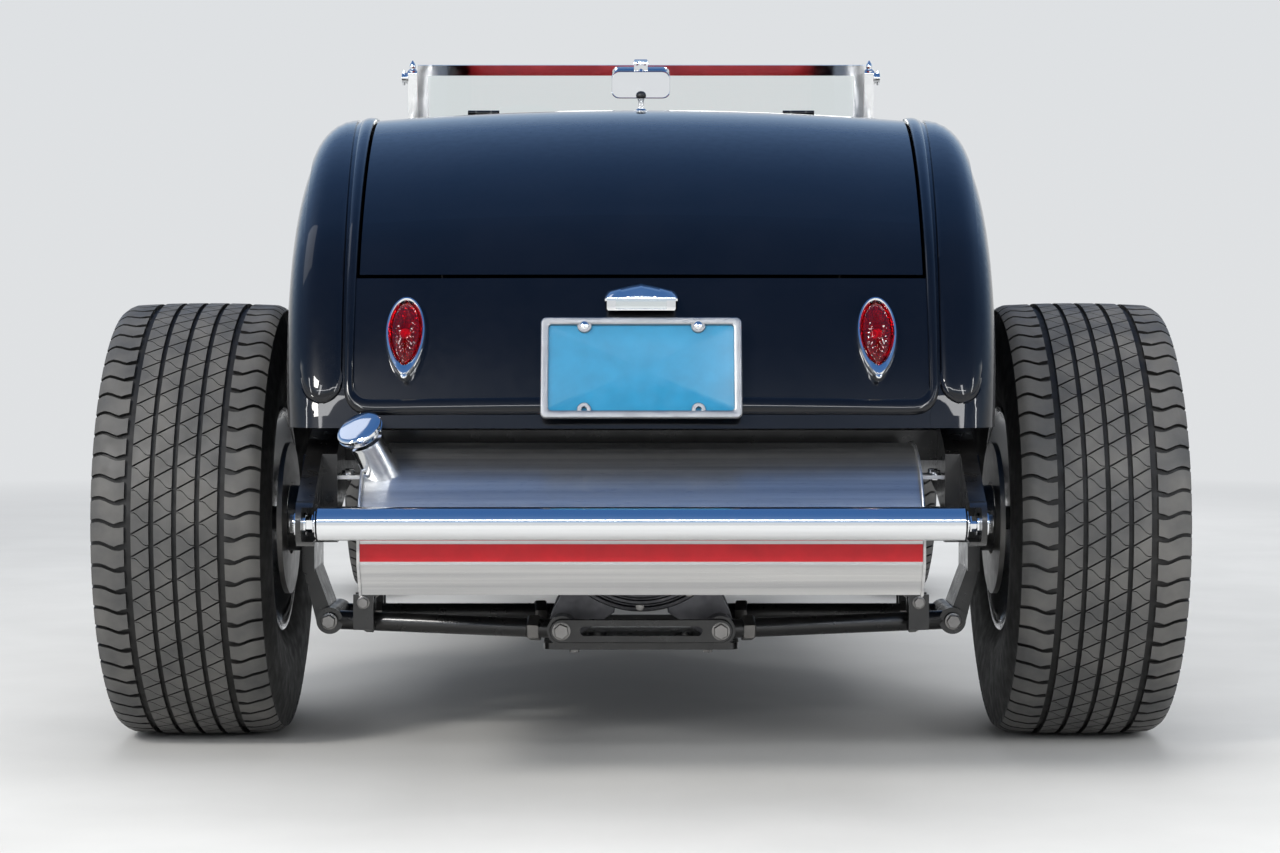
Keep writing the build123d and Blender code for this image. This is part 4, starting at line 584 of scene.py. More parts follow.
def make_wheel(name, body, centre, out, width, face, lugs=5):
    """Polished five-spoke wheel: rolled rim, tapered spokes, hub cap and lug nuts."""
    form = Form()
    half = width / 2
    barrel = [
        (-half - 8, 203), (-half - 7, 205), (-half - 3, 204), (-half, 196), (-half + 14, 190),
        (-half + 40, 168), (half - 44, 168), (half - 16, 188), (half, 196), (half + 3, 204),
        (half + 7, 205), (half + 8, 202), (half + 5, 196), (half - 2, 188), (half - 20, 181),
        (half - 48, 160), (-half + 44, 160), (-half + 16, 180), (-half + 2, 187), (-half - 6, 196),
    ]
    form.lathe(centre, (out, 0, 0), barrel, 120, closed=True)
    hub = [
        (face - 46, 20), (face - 46, 64), (face - 6, 70), (face, 66), (face + 3, 44), (face + 14, 40),
        (face + 20, 36), (face + 26, 20), (face + 27, 4), (face + 27, 0.2), (face - 46, 0.2),
    ]
    form.lathe(centre, (out, 0, 0), hub, 80)
    for spoke in range(SPOKES):
        middle = 2 * pi * spoke / SPOKES + pi / 10
        rows = []
        for k in range(9):
            share = k / 8
            r = 52 + (172 - 52) * share
            wide = 25 + 4 * share + 13 * max(0, share - 0.72) / 0.28
            dish = face - 4 - 10 * share - 5 * sin(share * pi)
            thick = 30 - 10 * share
            ring = []
            for along, lift in (
                (-1, -0.5), (-0.97, -0.16), (-0.82, 0), (-0.5, 0.05), (-0.2, -0.02), (0.2, -0.02),
                (0.5, 0.05), (0.82, 0), (0.97, -0.16), (1, -0.5), (0.8, -1), (-0.8, -1),
            ):
                x = out * (dish + thick * lift)
                ring.append(
                    Vector(centre) + Vector(
                        (
                            x, r * cos(middle) - wide * along * sin(middle),
                            r * sin(middle) + wide * along * cos(middle),
                        )
                    ) / 1000
                )
            rows.append(ring)
        form.rings(rows)
    wheel = form.piece(name, body, POLISHED, "wheel_alloy", smooth=30)
    nuts = Form()
    for k in range(lugs):
        angle = 2 * pi * k / lugs + pi / 10 + pi / 5
        spot = Vector(centre) + Vector((out * (face - 3), 54 * cos(angle), 54 * sin(angle))) / 1000
        nuts.lathe(spot, (out, 0, 0), [(0, 13), (3, 13), (4, 11)], 24)
        nuts.hexagon(spot, (out, 0, 0), 11, 18, 0.3)
    stem = Vector(centre) + Vector((out * (half - 24), 0, 178)) / 1000
    nuts.lathe(stem, (out, 0, -0.6), [(0, 4), (22, 4), (24, 3)], 12)
    nuts.piece(name + "_nuts", body, CHROME, "chrome")
    return wheel


REAR_RIBS = ((-72.75, -42.75), (-34.25, -4.25), (4.25, 34.25), (42.75, 72.75))
FRONT_RIBS = ((-38, -13), (-8, 8), (13, 38))
WHEELS = (  # end, x, ahead, radius, width, tread width, half rim width, pitches, ribs, wheel width, face
    ("rear", REAR_WHEEL_X, 0, REAR_RADIUS, 305, 250, 126, 64, REAR_RIBS, 254, 76),
    ("front", FRONT_WHEEL_X, WHEELBASE, FRONT_RADIUS, 190, 140, 75, 60, FRONT_RIBS, 152, 58),
)
for side, word in SIDES:
    for end, x, ahead, radius, *tyre_sizes, wheel_width, face in WHEELS:
        body, place = f"wheel_{end}_{word}", at(side * x, ahead, radius)
        tyre = make_tyre(f"{end}_tyre_{word}", body, place, radius, *tyre_sizes)
        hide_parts(f"tyre_{end}_{word}")
        rim = make_wheel(f"{end}_wheel_{word}", body, place, side, wheel_width, face)
        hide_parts(f"rim_{end}_{word}")


# Tail


def tail_spot(x, z, lift=0):
    """Point on the tail panel and the way out of it; the same curve as the part's."""
    slope = TAIL_SLOPE
    distance = -TAIL_SETBACK - (TAIL_Z - z) / tan(slope)
    if z > TAIL_Z:
        slope = acos(cos(TAIL_SLOPE) + (z - TAIL_Z) / TAIL_ARC)
        distance = -TAIL_SETBACK + TAIL_ARC * (sin(TAIL_SLOPE) - sin(slope))
    out = Vector((0, -sin(slope), cos(slope)))
    sag = x * x / 14000
    return at(x, distance, z) + out * (lift - sag) / 1000, out


def teardrop(half, top, bottom, round_foot):
    """Outline of a tail lamp: full and round above, drawn to a small round foot below."""
    points = []
    for v, u in circle(64):
        if v >= 0:
            points.append((half * u, top * v))
        else:
            narrow = (1 - abs(v) ** 1.7) ** 0.62 if abs(v) < 1 else 0
            side = 1 if u >= 0 else -1
            points.append(
                (side * half * max(narrow, 0) * (1 - round_foot) + half * round_foot * u, bottom * v)
            )
    return points


def lamp_rows(x, z, levels):
    """Rings of a lamp on the tail: each level is (half, top, bottom, foot, lift)."""
    origin, out = tail_spot(x, z)
    up = Vector((0, out.z, -out.y))
    rows = []
    for half, top, bottom, foot, lift in levels:
        ring = []
        for a, b in teardrop(half, top, bottom, foot):
            ring.append(origin + (Vector((a, 0, 0)) + up * b + out * lift) / 1000)
        rows.append(ring)
    return rows


LAMP_RIM = (  # half width, reach up, reach down, share of the foot that is round, lift
    (33, 64, 80, 0.2, -14),
    (33.2, 64.2, 80.2, 0.2, 4),
    (32.4, 63.4, 79.2, 0.2, 8.5),
    (30, 61, 76, 0.2, 12.6),
    (27.5, 58.5, 69, 0.18, 13.4),
    (25.4, 56.4, 62, 0.14, 11.5),
    (24.2, 55.2, 58, 0.1, 8),
    (24, 55, 57.5, 0.1, -14),
)


def make_tail_lamps():
    """Teardrop lamps: rolled chrome rim, foot screw, a fluted red dome over a dish and bulb."""
    rims, lenses, screws, bulbs, dishes = Form(), Form(), Form(), Form(), Form()
    for side in (-1, 1):
        x, z = side * TAIL_LAMP[0], TAIL_LAMP[1]
        rims.rings(lamp_rows(x, z, LAMP_RIM), closed=True)
        dome = []
        for k in range(13):
            share = k / 12
            size = cos(share * pi / 2) if k < 12 else 0.02
            dome.append((23.8 * size, 54.8 * size, 57.2 * size, 0.1, 5 + 13 * sin(share * pi / 2)))
        rows = lamp_rows(x, z, dome)
        count = len(rows[0])
        origin, out = tail_spot(x, z)
        for row in rows[1:10]:
            for i in range(0, count, 2):
                row[i] = row[i] - out * 0.0009
        lenses.rings(rows)
        bulb = [(3, 8.5), (8, 8.5), (10, 7.4), (11.6, 4.6), (12.2, 0)]
        bulbs.lathe(origin - Vector((0, 0, 0.004)), out, bulb, 24)
        dish = []
        for size, lift in ((1, -1), (1, 4), (0.8, 3), (0.55, 2.2), (0.3, 1.8), (0.02, 1.7)):
            dish.append((23.9 * size, 54.9 * size, 57.3 * size, 0.1, lift))
        dishes.rings(lamp_rows(x, z, dish))
        foot, out = tail_spot(x, z - 70)
        screws.lathe(foot + out * 0.0115, out, [(0, 5), (2.5, 5), (4, 3.4), (4.4, 0.4)], 20)
    rim = rims.piece("tail_lamp_rims", "chassis", CHROME, "chrome")
    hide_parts("tail_lamp_bezels")
    lens = lenses.piece("tail_lamp_glass", "chassis", RED_GLASS, "red_lens", smooth=25)
    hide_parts("tail_lamp_lenses")
    screws.piece("tail_lamp_screws", "chassis", CHROME, "chrome")
    # Bulb and dish painted bright red as a painted glow behind the lens
    bulbs.piece("tail_lamp_bulbs", "chassis", BULB_PAINTED_GLOW, "red_lens", smooth=60)
    dishes.piece("tail_lamp_dishes", "chassis", DISH_PAINTED_GLOW, "red_lens", smooth=60)


def rounded(wide, high, radius, count=8):
    """Rounded rectangle outline, counterclockwise from the lower right."""
    points = []
    for cx, cy, start in ((1, -1, -pi / 2), (1, 1, 0), (-1, 1, pi / 2), (-1, -1, pi)):
        for k in range(count + 1):
            angle = start + pi / 2 * k / count
            points.append(
                (
                    cx * (wide / 2 - radius) + radius * cos(angle),
                    cy * (high / 2 - radius) + radius * sin(angle)
                )
            )
    return points


PLATE_CENTRE = (0, -712, 679)
FRAME_SIZE = (314, 163)
HOLE_X, HOLE_TOP, HOLE_LOW = 89, 66, -70
PLATE_OUT = Vector((0, -cos(PLATE_LEAN), sin(PLATE_LEAN)))
PLATE_UP = Vector((0, sin(PLATE_LEAN), cos(PLATE_LEAN)))


def plate_spot(a, b, lift):
    """Point on the number plate's plane: a across, b up, lifted towards the camera."""
    return at(*PLATE_CENTRE) + (Vector((a, 0, 0)) + PLATE_UP * b + PLATE_OUT * lift) / 1000


def make_plate():
    """Blank plate in a brushed frame with screw ears, two screws and two empty holes."""
    frame_rows = []
    for grow, radius, lift in (
        (0, 9, 1), (0, 9, 7), (-1.4, 8, 8.6), (-9, 6, 9.4), (-11.5, 6, 8.2), (-12, 6, 2)
    ):
        outline = rounded(FRAME_SIZE[0] + 2 * grow, FRAME_SIZE[1] + 2 * grow, radius)
        frame_rows.append([plate_spot(a, b - 2, lift) for a, b in outline])
    rim = Form()
    rim.rings(frame_rows, closed=True)
    for x in (-HOLE_X, HOLE_X):
        for b in (HOLE_TOP, HOLE_LOW):
            ear = [(11 * a, 11 * c) for a, c in circle(24)]
            rows = []
            for size, lift in ((1, 2), (1, 7.6), (0.9, 8.4), (0.42, 8.4), (0.4, 2)):
                rows.append([plate_spot(x + a * size, b + c * size, lift) for a, c in ear])
            rim.rings(rows, closed=True)
    made = rim.piece("plate_frame", "chassis", BRUSHED_FINE, "chrome")
    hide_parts("number_plate")
    blank = Form()
    rows = []
    for wide, high, lift in (
        (303, 152, -0.5), (303, 152, 2.2), (299, 148, 3.0), (292, 141, 3.0), (288, 137, 2.2)
    ):
        rows.append([plate_spot(a, b - 2, lift) for a, b in rounded(wide, high, 9)])
    rows.append([plate_spot(a * 0.02, b * 0.02 - 2, 2.2) for a, b in rounded(288, 137, 9)])
    blank.rings(rows)
    blank.piece("plate_blank", "chassis", TEAL, "chrome")
    screws = Form()
    for x in (-HOLE_X, HOLE_X):
        spot = plate_spot(x, HOLE_TOP, 8.2)
        screws.lathe(spot, PLATE_OUT, [(0, 6.5), (1.4, 6.5), (2.6, 5.4), (3.4, 3), (3.6, 0.3)], 24)
        for b, reach in ((HOLE_TOP, 24), (HOLE_LOW, 44)):
            screws.rod(plate_spot(x, b, -reach), plate_spot(x, b, 1), 5)
    screws.piece("plate_screws", "chassis", CHROME, "chrome")


def make_plate_lamp():
    """Bat-wing chrome hood with a pressed ridge, over a small lamp box."""
    hood = Form()
    rows = []
    for k in range(25):
        share = -1 + 2 * k / 24
        x = share * 57.5
        away = abs(share)
        crest = 812 - 13 * away**1.3
        under = 786 - 3 * away
        reach = 46 * (1 - 0.42 * away**2.2)
        base = tail_spot(x, 797)[0].y * 1000 - REAR_AXLE_Y
        ridge = 1.5 * max(0, 1 - away * 9)
        section = [
            (base + 14, under + 4), (base + 14, crest - 2), (base - 2, crest),
            (base - reach * 0.55, crest - 3 + ridge), (base - reach * 0.86, crest - 9 + ridge),
            (base - reach, under + 5), (base - reach * 0.98, under), (base - reach * 0.9, under + 1),
        ]
        if k in (0, 24):
            section = [(a, under + (b - under) * 0.7) for a, b in section]
        rows.append([at(x, a, b) for a, b in section])
    hood.rings(rows)
    made = hood.piece("plate_lamp_hood", "chassis", CHROME, "chrome", smooth=24)
    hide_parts("plate_lamp")
    box = Form()
    box.box((-54, 54), (-686, -640), (768, 789), 2)
    box.piece("plate_lamp_box", "chassis", CHROME, "chrome")
    lens = Form()
    lens.box((-40, 40), (-690, -684), (770, 785), 1.5)
    lens.piece("plate_lamp_lens", "chassis", GLASS, "clear_glass")


def make_tank_trim():
    """Red stripe, dotted seam, rolled end seams, tab bolts and the filler."""
    stripe = Form()
    stripe.box((-432, 432), (-801.2, -796), (382.5, 409.5), 0.4)
    stripe.piece("tank_stripe", "chassis", STRIPE, "stainless")
    seams = Form()
    for side in (-1, 1):
        x = side * 434
        outline = [
            (-497, 342), (-497, 546), (-600, 557), (-650, 553), (-700, 538), (-745, 512), (-778, 476),
            (-796, 438), (-801, 422), (-801, 376), (-768, 328), (-500, 340),
        ]
        seams.tube([at(x, a, z) for a, z in outline], 2.6, 10, closed=True)
    for k in range(107):
        seams.lathe(at(-424 + 8 * k, -800.4, 415), (0, -1, 0), [(-1, 1.5), (0.4, 1.3), (0.8, 0.4)], 8)
    seams.piece("tank_seams", "chassis", BRUSHED, "stainless")
    bolts = Form()
    for side in (-1, 1):
        for a in (-625, -580):
            bolts.bolt(at(side * 470, a, 506), (0, 0, 1), 8)
            bolts.hexagon(at(side * 470, a, 498), (0, 0, 1), 8, 6)
    bolts.piece("tank_bolts", "chassis", CHROME, "chrome")
    filler = Form()
    foot, end = at(-402, -712, 512), at(-434, -762, 582)
    way = (end - foot).normalized()
    filler.lathe(foot, way, [(-8, 28), (0, 28), (70, 28), (76, 30)], 48)
    cap = [
        (-6, 30), (-6, 35), (-4, 36.5), (-1, 36.5), (0, 34.6), (1.4, 34.6), (2.4, 36.5), (6, 36.2),
        (8.4, 34), (9.4, 30), (9.8, 12), (9.9, 0.4), (-6, 0.4),
    ]
    filler.lathe(end, way, cap, 64)
    made = filler.piece("tank_filler", "chassis", CHROME, "stainless")
    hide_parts("filler_cap")


def make_spreader_ends():
    """Chrome bars with collars, nuts and acorn nuts in the frame horns."""
    bars = Form()
    for (ahead, z), half, radius in ((REAR_BAR, 491, 25.5), (FRONT_BAR, 292, 19)):
        profile = [(0, radius - 3), (3, radius), (2 * half - 3, radius), (2 * half, radius - 3)]
        bars.lathe(at(-half, ahead, z), (1, 0, 0), profile, 64)
    for side in (-1, 1):
        spot = at(side * 490, *REAR_BAR)
        bars.lathe(spot, (side, 0, 0), [(0, 21), (2.5, 21), (3.5, 9), (21, 9)], 40)
        bars.hexagon(at(side * 495, *REAR_BAR), (side, 0, 0), 13.5, 11, 0.2)
        bars.lathe(at(side * 506, *REAR_BAR), (side, 0, 0), [(0, 17), (4.5, 17), (4.9, 14)], 40)
        bars.lathe(at(side * 520.8, *REAR_BAR), (side, 0, 0), [(0, 17), (2.5, 17), (3, 12)], 32)
        dome = [(0, 14), (3, 14), (6, 12), (8.5, 7.5), (9.6, 0.4)]
        bars.lathe(at(side * 523, *REAR_BAR), (side, 0, 0), dome, 32)
        front = side * 345
        bars.hexagon(at(front + side * 2, *FRONT_BAR), (side, 0, 0), 14, 9)
        bars.lathe(
            at(front + side * 10, *FRONT_BAR), (side, 0, 0), [(0, 11), (4, 9), (6, 5), (6.6, 0.4)], 32
        )
        bars.rod(at(side * 290, *FRONT_BAR), at(side * 297, *FRONT_BAR), 15)
    made = bars.piece("chrome_spreader_bars", "chassis", CHROME, "chrome")
    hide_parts("spreader_bars")


make_tail_lamps()
make_plate()
make_plate_lamp()
make_tank_trim()
make_spreader_ends()


# Rear suspension


def coil(form, low, high, radius, wire, turns):
    """Helical spring between two points."""
    low, high = Vector(low), Vector(high)
    way = (high - low).normalized()
    side = way.orthogonal().normalized()
    up = way.cross(side)
    path = []
    steps = int(turns * 20)
    for i in range(steps + 1):
        share = i / steps
        angle = 2 * pi * turns * share
        centre = low + (high - low) * share
        path.append(centre + (side * cos(angle) + up * sin(angle)) * radius / 1000)
    form.tube(path, wire, 10)


def make_coil_overs():
    """Springs over alloy dampers with threaded bodies, seats and bushed eyes."""
    bodies, springs = Form(), Form()
    for side in (-1, 1):
        for end in (-1, 1):
            low = at(side * COIL_FOOT[0], end * COIL_AHEAD, COIL_FOOT[1])
            high = at(side * COIL_HEAD[0], end * COIL_AHEAD, COIL_HEAD[1])
            way = (high - low).normalized()
            bodies.lathe(low + way * 0.014, way, [(0, 14), (10, 22), (16, 24), (110, 24), (112, 20)], 32)
            for k in range(14):
                spot = low + way * (0.042 + 0.005 * k)
                bodies.lathe(spot, way, [(0, 24), (1, 26), (2, 26), (3, 24)], 32)
            bodies.lathe(
                low + way * 0.06, way, [(0, 25), (0, 37), (3, 38), (9, 38), (11, 33), (11, 25)], 40
            )
            bodies.lathe(high - way * 0.052, way, [(0, 12), (0, 36), (6, 37), (10, 34), (12, 14)], 40)
            bodies.lathe(high - way * 0.18, way, [(0, 9), (168, 9)], 20)
            for spot in (low, high):
                middle = spot - Vector((0, 0.016, 0))
                bodies.lathe(middle, (0, 1, 0), [(0, 13), (1, 16), (31, 16), (32, 13)], 32)
            coil(springs, low + way * 0.076, high - way * 0.056, 31, 5.5, 6.2)
    made = bodies.piece("damper_bodies", "chassis", CAST, "chrome")
    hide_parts("coil_overs")
    springs.piece("coil_springs", "chassis", PLASTIC, "chrome", smooth=60)
    bolts = Form()
    for side in (-1, 1):
        for end in (-1, 1):
            for x, z in (COIL_FOOT, COIL_HEAD):
                bolts.bolt(at(side * x, end * (COIL_AHEAD + 25), z), (0, end, 0), 10)
                bolts.bolt(at(side * x, end * (COIL_AHEAD - 25), z), (0, -end, 0), 10)
            bolts.bolt(at(side * INNER_PIVOT[0], end * 177, INNER_PIVOT[1]), (0, end, 0), 14)
            bolts.bolt(at(side * 562, end * 90, 212), (0, end, 0), 13)
    bolts.piece("suspension_bolts", "chassis", STEEL, "chrome")


def make_final_drive_trim():
    """Bolts round the cover and below the pivots, the arms' adjusters and the rear brake discs."""
    trim = Form()
    for k in range(10):
        angle = 2 * pi * k / 10 + 0.3
        spot = at(150 * cos(angle), -118, FINAL_DRIVE_Z + 137 * sin(angle))
        trim.bolt(spot, (0, -1, 0), 6.5)
    for side in (-1, 1):
        for end in (-1, 1):
            start = at(side * 150, end * 136, 204.2)
            way = (
                at(side * 548, end * 62, 212) - at(side * INNER_PIVOT[0], end * 140, INNER_PIVOT[1])
            ).normalized()
            trim.hexagon(start + way * 0.03, way, 24, 22)
            trim.hexagon(start + way * 0.34, way, 22, 16)
            for a in (-88, 88):
                trim.bolt(at(side * 120, a, 165), (0, 0, -1), 9)
    trim.piece("final_drive_bolts", "chassis", STEEL, "chrome")
    discs = Form()
    for side in (-1, 1):
        face = [(0, 66), (0, 138), (9, 138), (9, 66)]
        discs.lathe(at(side * 640, 0, REAR_RADIUS), (side, 0, 0), face, 72, closed=True)
    discs.piece("rear_brake_discs", "chassis", STEEL, "chrome")


def drive_ear(side):
    """Outline of a cast ear: round at the pivot, widening up into the housing."""
    points = []
    for step in range(11):
        turn = radians(172 + 13 * step)
        points.append((INNER_PIVOT[0] - 27 * cos(turn), INNER_PIVOT[1] + 27 * sin(turn)))
    points += [(82, 208), (48, 230), (44, 262), (60, 300), (128, 300), (146, 257), (158, 235)]
    return [(side * x, z) for x, z in points]


COVER_STEPS = (  # share of the oval's size, ahead
    (1, -52), (1, -112), (0.985, -118), (0.95, -119), (0.93, -113), (0.915, -113),
    (0.91, -126), (0.89, -131), (0.86, -131), (0.845, -126), (0.83, -126), (0.825, -138),
    (0.8, -142), (0.76, -142), (0.745, -138), (0.5, -140), (0.3, -150), (0.02, -152),
)


def make_final_drive():
    """Cast housing with an oval stepped cover, tapered ears and a slotted bar between the pivots."""
    housing = Form()
    rows = []
    for ahead, size in ((-60, 200), (-56, 210), (60, 210), (110, 170), (138, 112)):
        rows.append([at(x, ahead, 375 + z) for x, z in rounded(size, size, size * 0.19)])
    housing.rings(rows)
    rows = []
    for size, ahead in COVER_STEPS:
        rows.append([at(160 * size * a, ahead, FINAL_DRIVE_Z + 146 * size * b) for a, b in circle(96)])
    housing.rings(rows)
    housing.rod(at(-150, 0, REAR_RADIUS), at(150, 0, REAR_RADIUS), 58, 48)
    housing.rod(at(0, 130, REAR_RADIUS), at(0, 262, REAR_RADIUS), 52, 48)
    housing.box((-60, 60), (-50, 50), (470, 545), 4)
    for side in (-1, 1):
        for ahead in (-110, 85):
            outline = [at(x, ahead, z) for x, z in drive_ear(side)]
            housing.plate(outline, (0, 0.025, 0), 3)
    # Shaded copy of the cast metal: painted shade
    made = housing.piece("final_drive_housing", "chassis", SHADED_CAST, "chassis_paint", smooth=32)
    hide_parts("differential")
    bar = Form()
    for end in (-1, 1):
        rows = []
        outer, inner = INNER_PIVOT[0], 100
        for half, radius, depth in (
            (outer, 19.5, 169), (outer, 21, 170.5), (outer, 21, 175.5), (outer, 19.5, 177),
            (inner, 8.5, 177), (inner, 8.5, 169)
        ):
            rows.append([at(x, end * depth, INNER_PIVOT[1] + z) for x, z in pill(half, radius)])
        bar.rings(rows, closed=True)
    bar.piece("pivot_bars", "chassis", SATIN, "chassis_paint", smooth=40)


def pill(half, radius, count=16):
    """Outline with straight sides and round ends, whose centres lie at the half length."""
    points = []
    for centre, start in ((half, -90), (-half, 90)):
        for step in range(count + 1):
            turn = radians(start + 180 * step / count)
            points.append((centre + radius * cos(turn), radius * sin(turn)))
    return points


make_coil_overs()
make_final_drive_trim()
make_final_drive()
# Rounded mouldings over the beads that are pressed in the body


BELT_LOW, BELT_TOP = 1020, 1070
BELT_START = 520  # ahead, where the wide bead has become the belt
BEAD_NEAR = (24, 42)  # from the lid's line to the wide bead, at the tail and at the lid's front
BEAD_FAR = (88, 116)
DEPTH_SEEN = 0.35  # in mm, from where a ray's hit counts as on the bead
LID_LOW_SLOPE = acos(cos(TAIL_SLOPE) + (826 - TAIL_Z) / TAIL_ARC)
LID_LOW_AHEAD = -TAIL_SETBACK + TAIL_ARC * (sin(TAIL_SLOPE) - sin(LID_LOW_SLOPE))


class Skin:
    """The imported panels' outer surface, found by casting rays at it."""

    def __init__(self, *names):
        self.trees = []
        for name in names:
            bm = bmesh.new()
            bm.from_mesh(nodes[name].data)
            bm.transform(nodes[name].matrix_world)
            self.trees.append(BVHTree.FromBMesh(bm))
            bm.free()

    def cast(self, start, way, reach=0.4):
        """Nearest surface point from the start along the way."""
        best, found = reach, None
        for tree in self.trees:
            spot, _, _, distance = tree.ray_cast(start, way, best)
            if spot is not None and distance < best:
                best, found = distance, spot
        return found


def mm(point):
    """Millimetres as (x, ahead, z) of a point in metres."""
    return point.x * 1000, point.y * 1000 - REAR_AXLE_Y, point.z * 1000


def lerp(low, high, distance):
    """Value at a distance ahead between the tail's and the lid front's values."""
    return low + (high - low) * (distance + TAIL_SETBACK) / (LID_FRONT + TAIL_SETBACK)


def lid_edge(distance):
    """Half width of the deck lid's opening line."""
    return 452 + 40 * (distance - LID_LOW_AHEAD) / (LID_FRONT - LID_LOW_AHEAD)


def deck_at(slope):
    """Distance ahead, height and way out of the deck where it leans by the slope in degrees."""
    lean = radians(slope)
    out = Vector((0, -sin(lean), cos(lean)))
    low = max(lean, DECK_SLOPE)
    ahead = -TAIL_SETBACK + TAIL_ARC * (sin(TAIL_SLOPE) - sin(low)) + DECK_ARC * (sin(low) - sin(lean))
    z = TAIL_Z + TAIL_ARC * (cos(low) - cos(TAIL_SLOPE)) + DECK_ARC * (cos(lean) - cos(low))
    return ahead, z, out


def mould(form, rows, lifts, hints):
    """Closed bar over rows of surface points, each lifted by its own amount in mm."""
    count = len(rows[0])
    for _ in range(3):
        rows[1:-1] = [
            [(a + b * 2 + c) / 4 for a, b, c in zip(before, row, after)]
            for before, row, after in zip(rows, rows[1:], rows[2:])
        ]
    rings = []
    for i, row in enumerate(rows):
        before, after = rows[max(i - 1, 0)], rows[min(i + 1, len(rows) - 1)]
        ways = []
        for k in range(count):
            left, right = row[max(k - 1, 0)], row[min(k + 1, count - 1)]
            out = (after[k] - before[k]).cross(right - left).normalized()
            ways.append(out if out.dot(hints[i]) > 0 else -out)
        ring = [spot + out * lift / 1000 for spot, out, lift in zip(row, ways, lifts[i])]
        for k in (count - 1, 0):
            ring.append(row[k] - ways[k] * 0.009)
        rings.append(ring)
    return form.rings(rings)


def crown(edge, reach, height):
    """Height of a rounded moulding at a distance from its edge."""
    return height * (1 - (1 - min(edge, reach) / reach) ** 2)


def make_ridge(skin, form, side):
    """Narrow bead beside the lid, round the corner and along the foot of the tail."""
    pairs = []
    for step in range(34):
        slope = 1 + 69.5 * step / 33
        ahead, z, out = deck_at(slope)
        near = lid_edge(ahead) + PANEL_GAP
        pairs.append(((near, ahead, z), (near + lerp(14, 26, ahead), ahead, z), out))
    near = lid_edge(-TAIL_SETBACK) + PANEL_GAP
    far = near + 14
    for step in range(10):
        turn = radians(90 * step / 9)
        ends = []
        for x, z, radius in ((near - 25, 657, 25), (far - 40, 648, 40)):
            ends.append((x + radius * cos(turn), z - radius * sin(turn)))
        spots = [mm(tail_spot(x, z)[0]) for x, z in ends]
        pairs.append((spots[0], spots[1], tail_spot(ends[0][0], ends[0][1])[1]))
    for step in range(1, 12):
        x = (near - 25) * (1 - step / 11)
        pairs.append((mm(tail_spot(x, 632)[0]), mm(tail_spot(x, 608)[0]), tail_spot(x, 620)[1]))
    rows, lifts, hints = [], [], []
    for near_spot, far_spot, out in pairs:
        a, b = at(*near_spot), at(*far_spot)
        a.x, b.x = a.x * side, b.x * side
        width = (b - a).length * 1000
        across = (b - a).normalized()
        edges = [0.9 + (width - 1.8) * k / 6 for k in range(7)]
        hits = [skin.cast(a + across * edge / 1000 + out * 0.08, -out) for edge in edges]
        rows.append(
            [hits[0] - across * 0.0018, hits[0] - across * 0.0011]
            + hits
            + [hits[-1] + across * 0.0016, hits[-1] + across * 0.0036]
        )
        inner = [0.8 + crown(min(edge, width - edge), width / 2, 3.2) for edge in edges]
        lifts.append([-6, -0.6, *inner, -1.6, -5])
        hints.append(out)
    mould(form, rows, lifts, hints)


def reveal_edge(x, ahead, z):
    """How far inside the wide bead a point lies, in mm; less than nothing is outside."""
    near = lid_edge(ahead) + lerp(*BEAD_NEAR, ahead)
    far = lid_edge(ahead) + lerp(*BEAD_FAR, ahead)
    if ahead < LID_FRONT:
        inside = min(x - near, far - x)
        if ahead > -100:
            inside = min(inside, z - 1018 - 2 * (ahead + 100) / (LID_FRONT + 100))
        return inside
    belt = min(z - BELT_LOW, BELT_TOP - z)
    if ahead < BELT_START:
        edge = 534 + (592 - 534) * (ahead - LID_FRONT) / (BELT_START - LID_FRONT)
        return max(min(x - edge, z - BELT_LOW), belt)
    return belt


def shoulder_row(skin, centre, out, side, columns=9):
    """Surface points across the wide bead, found round a centre inside the body."""
    across = Vector((side, 0, 0))
    trace = []
    for step in range(280):
        turn = radians(-35 + 0.5 * step)
        way = out * cos(turn) + across * sin(turn)
        spot = skin.cast(centre + way * 0.35, -way)
        if spot is None:
            continue
        x, ahead, z = mm(spot)
        trace.append((spot, reveal_edge(abs(x), ahead, z)))
    inside = [k for k, (_, depth) in enumerate(trace) if depth > DEPTH_SEEN]
    if not inside:
        return None
    first = last = inside[0]
    while last + 1 < len(trace) and trace[last + 1][1] > DEPTH_SEEN:
        last += 1
    if last - first < 4:
        return None
    line = [trace[k][0] for k in range(first, last + 1)]
    length = [0.0]
    for a, b in zip(line, line[1:]):
        length.append(length[-1] + (b - a).length * 1000)
    low = trace[first][1] * (length[3] - length[0]) / (trace[first + 3][1] - trace[first][1])
    high = trace[last][1] * (length[-1] - length[-4]) / (trace[last - 3][1] - trace[last][1])
    total = length[-1] + low + high
    row, lift = [], []
    across = [0.9 + (total - 1.8) * k / (columns - 1) for k in range(columns)]
    goals = [-2.8, -0.7, *across, total + 0.7, total + 2.8]
    for goal in goals:
        along = goal - low
        j = next((n for n in range(1, len(length)) if length[n] >= along), len(length) - 1)
        share = (along - length[j - 1]) / (length[j] - length[j - 1])
        row.append(line[j - 1] + (line[j] - line[j - 1]) * share)
        depth = min(goal, total - goal)
        lift.append(0.9 + crown(depth, total / 2, 3.4) if depth > 0 else -1.6 if depth > -1 else -5.2)
    return row, lift


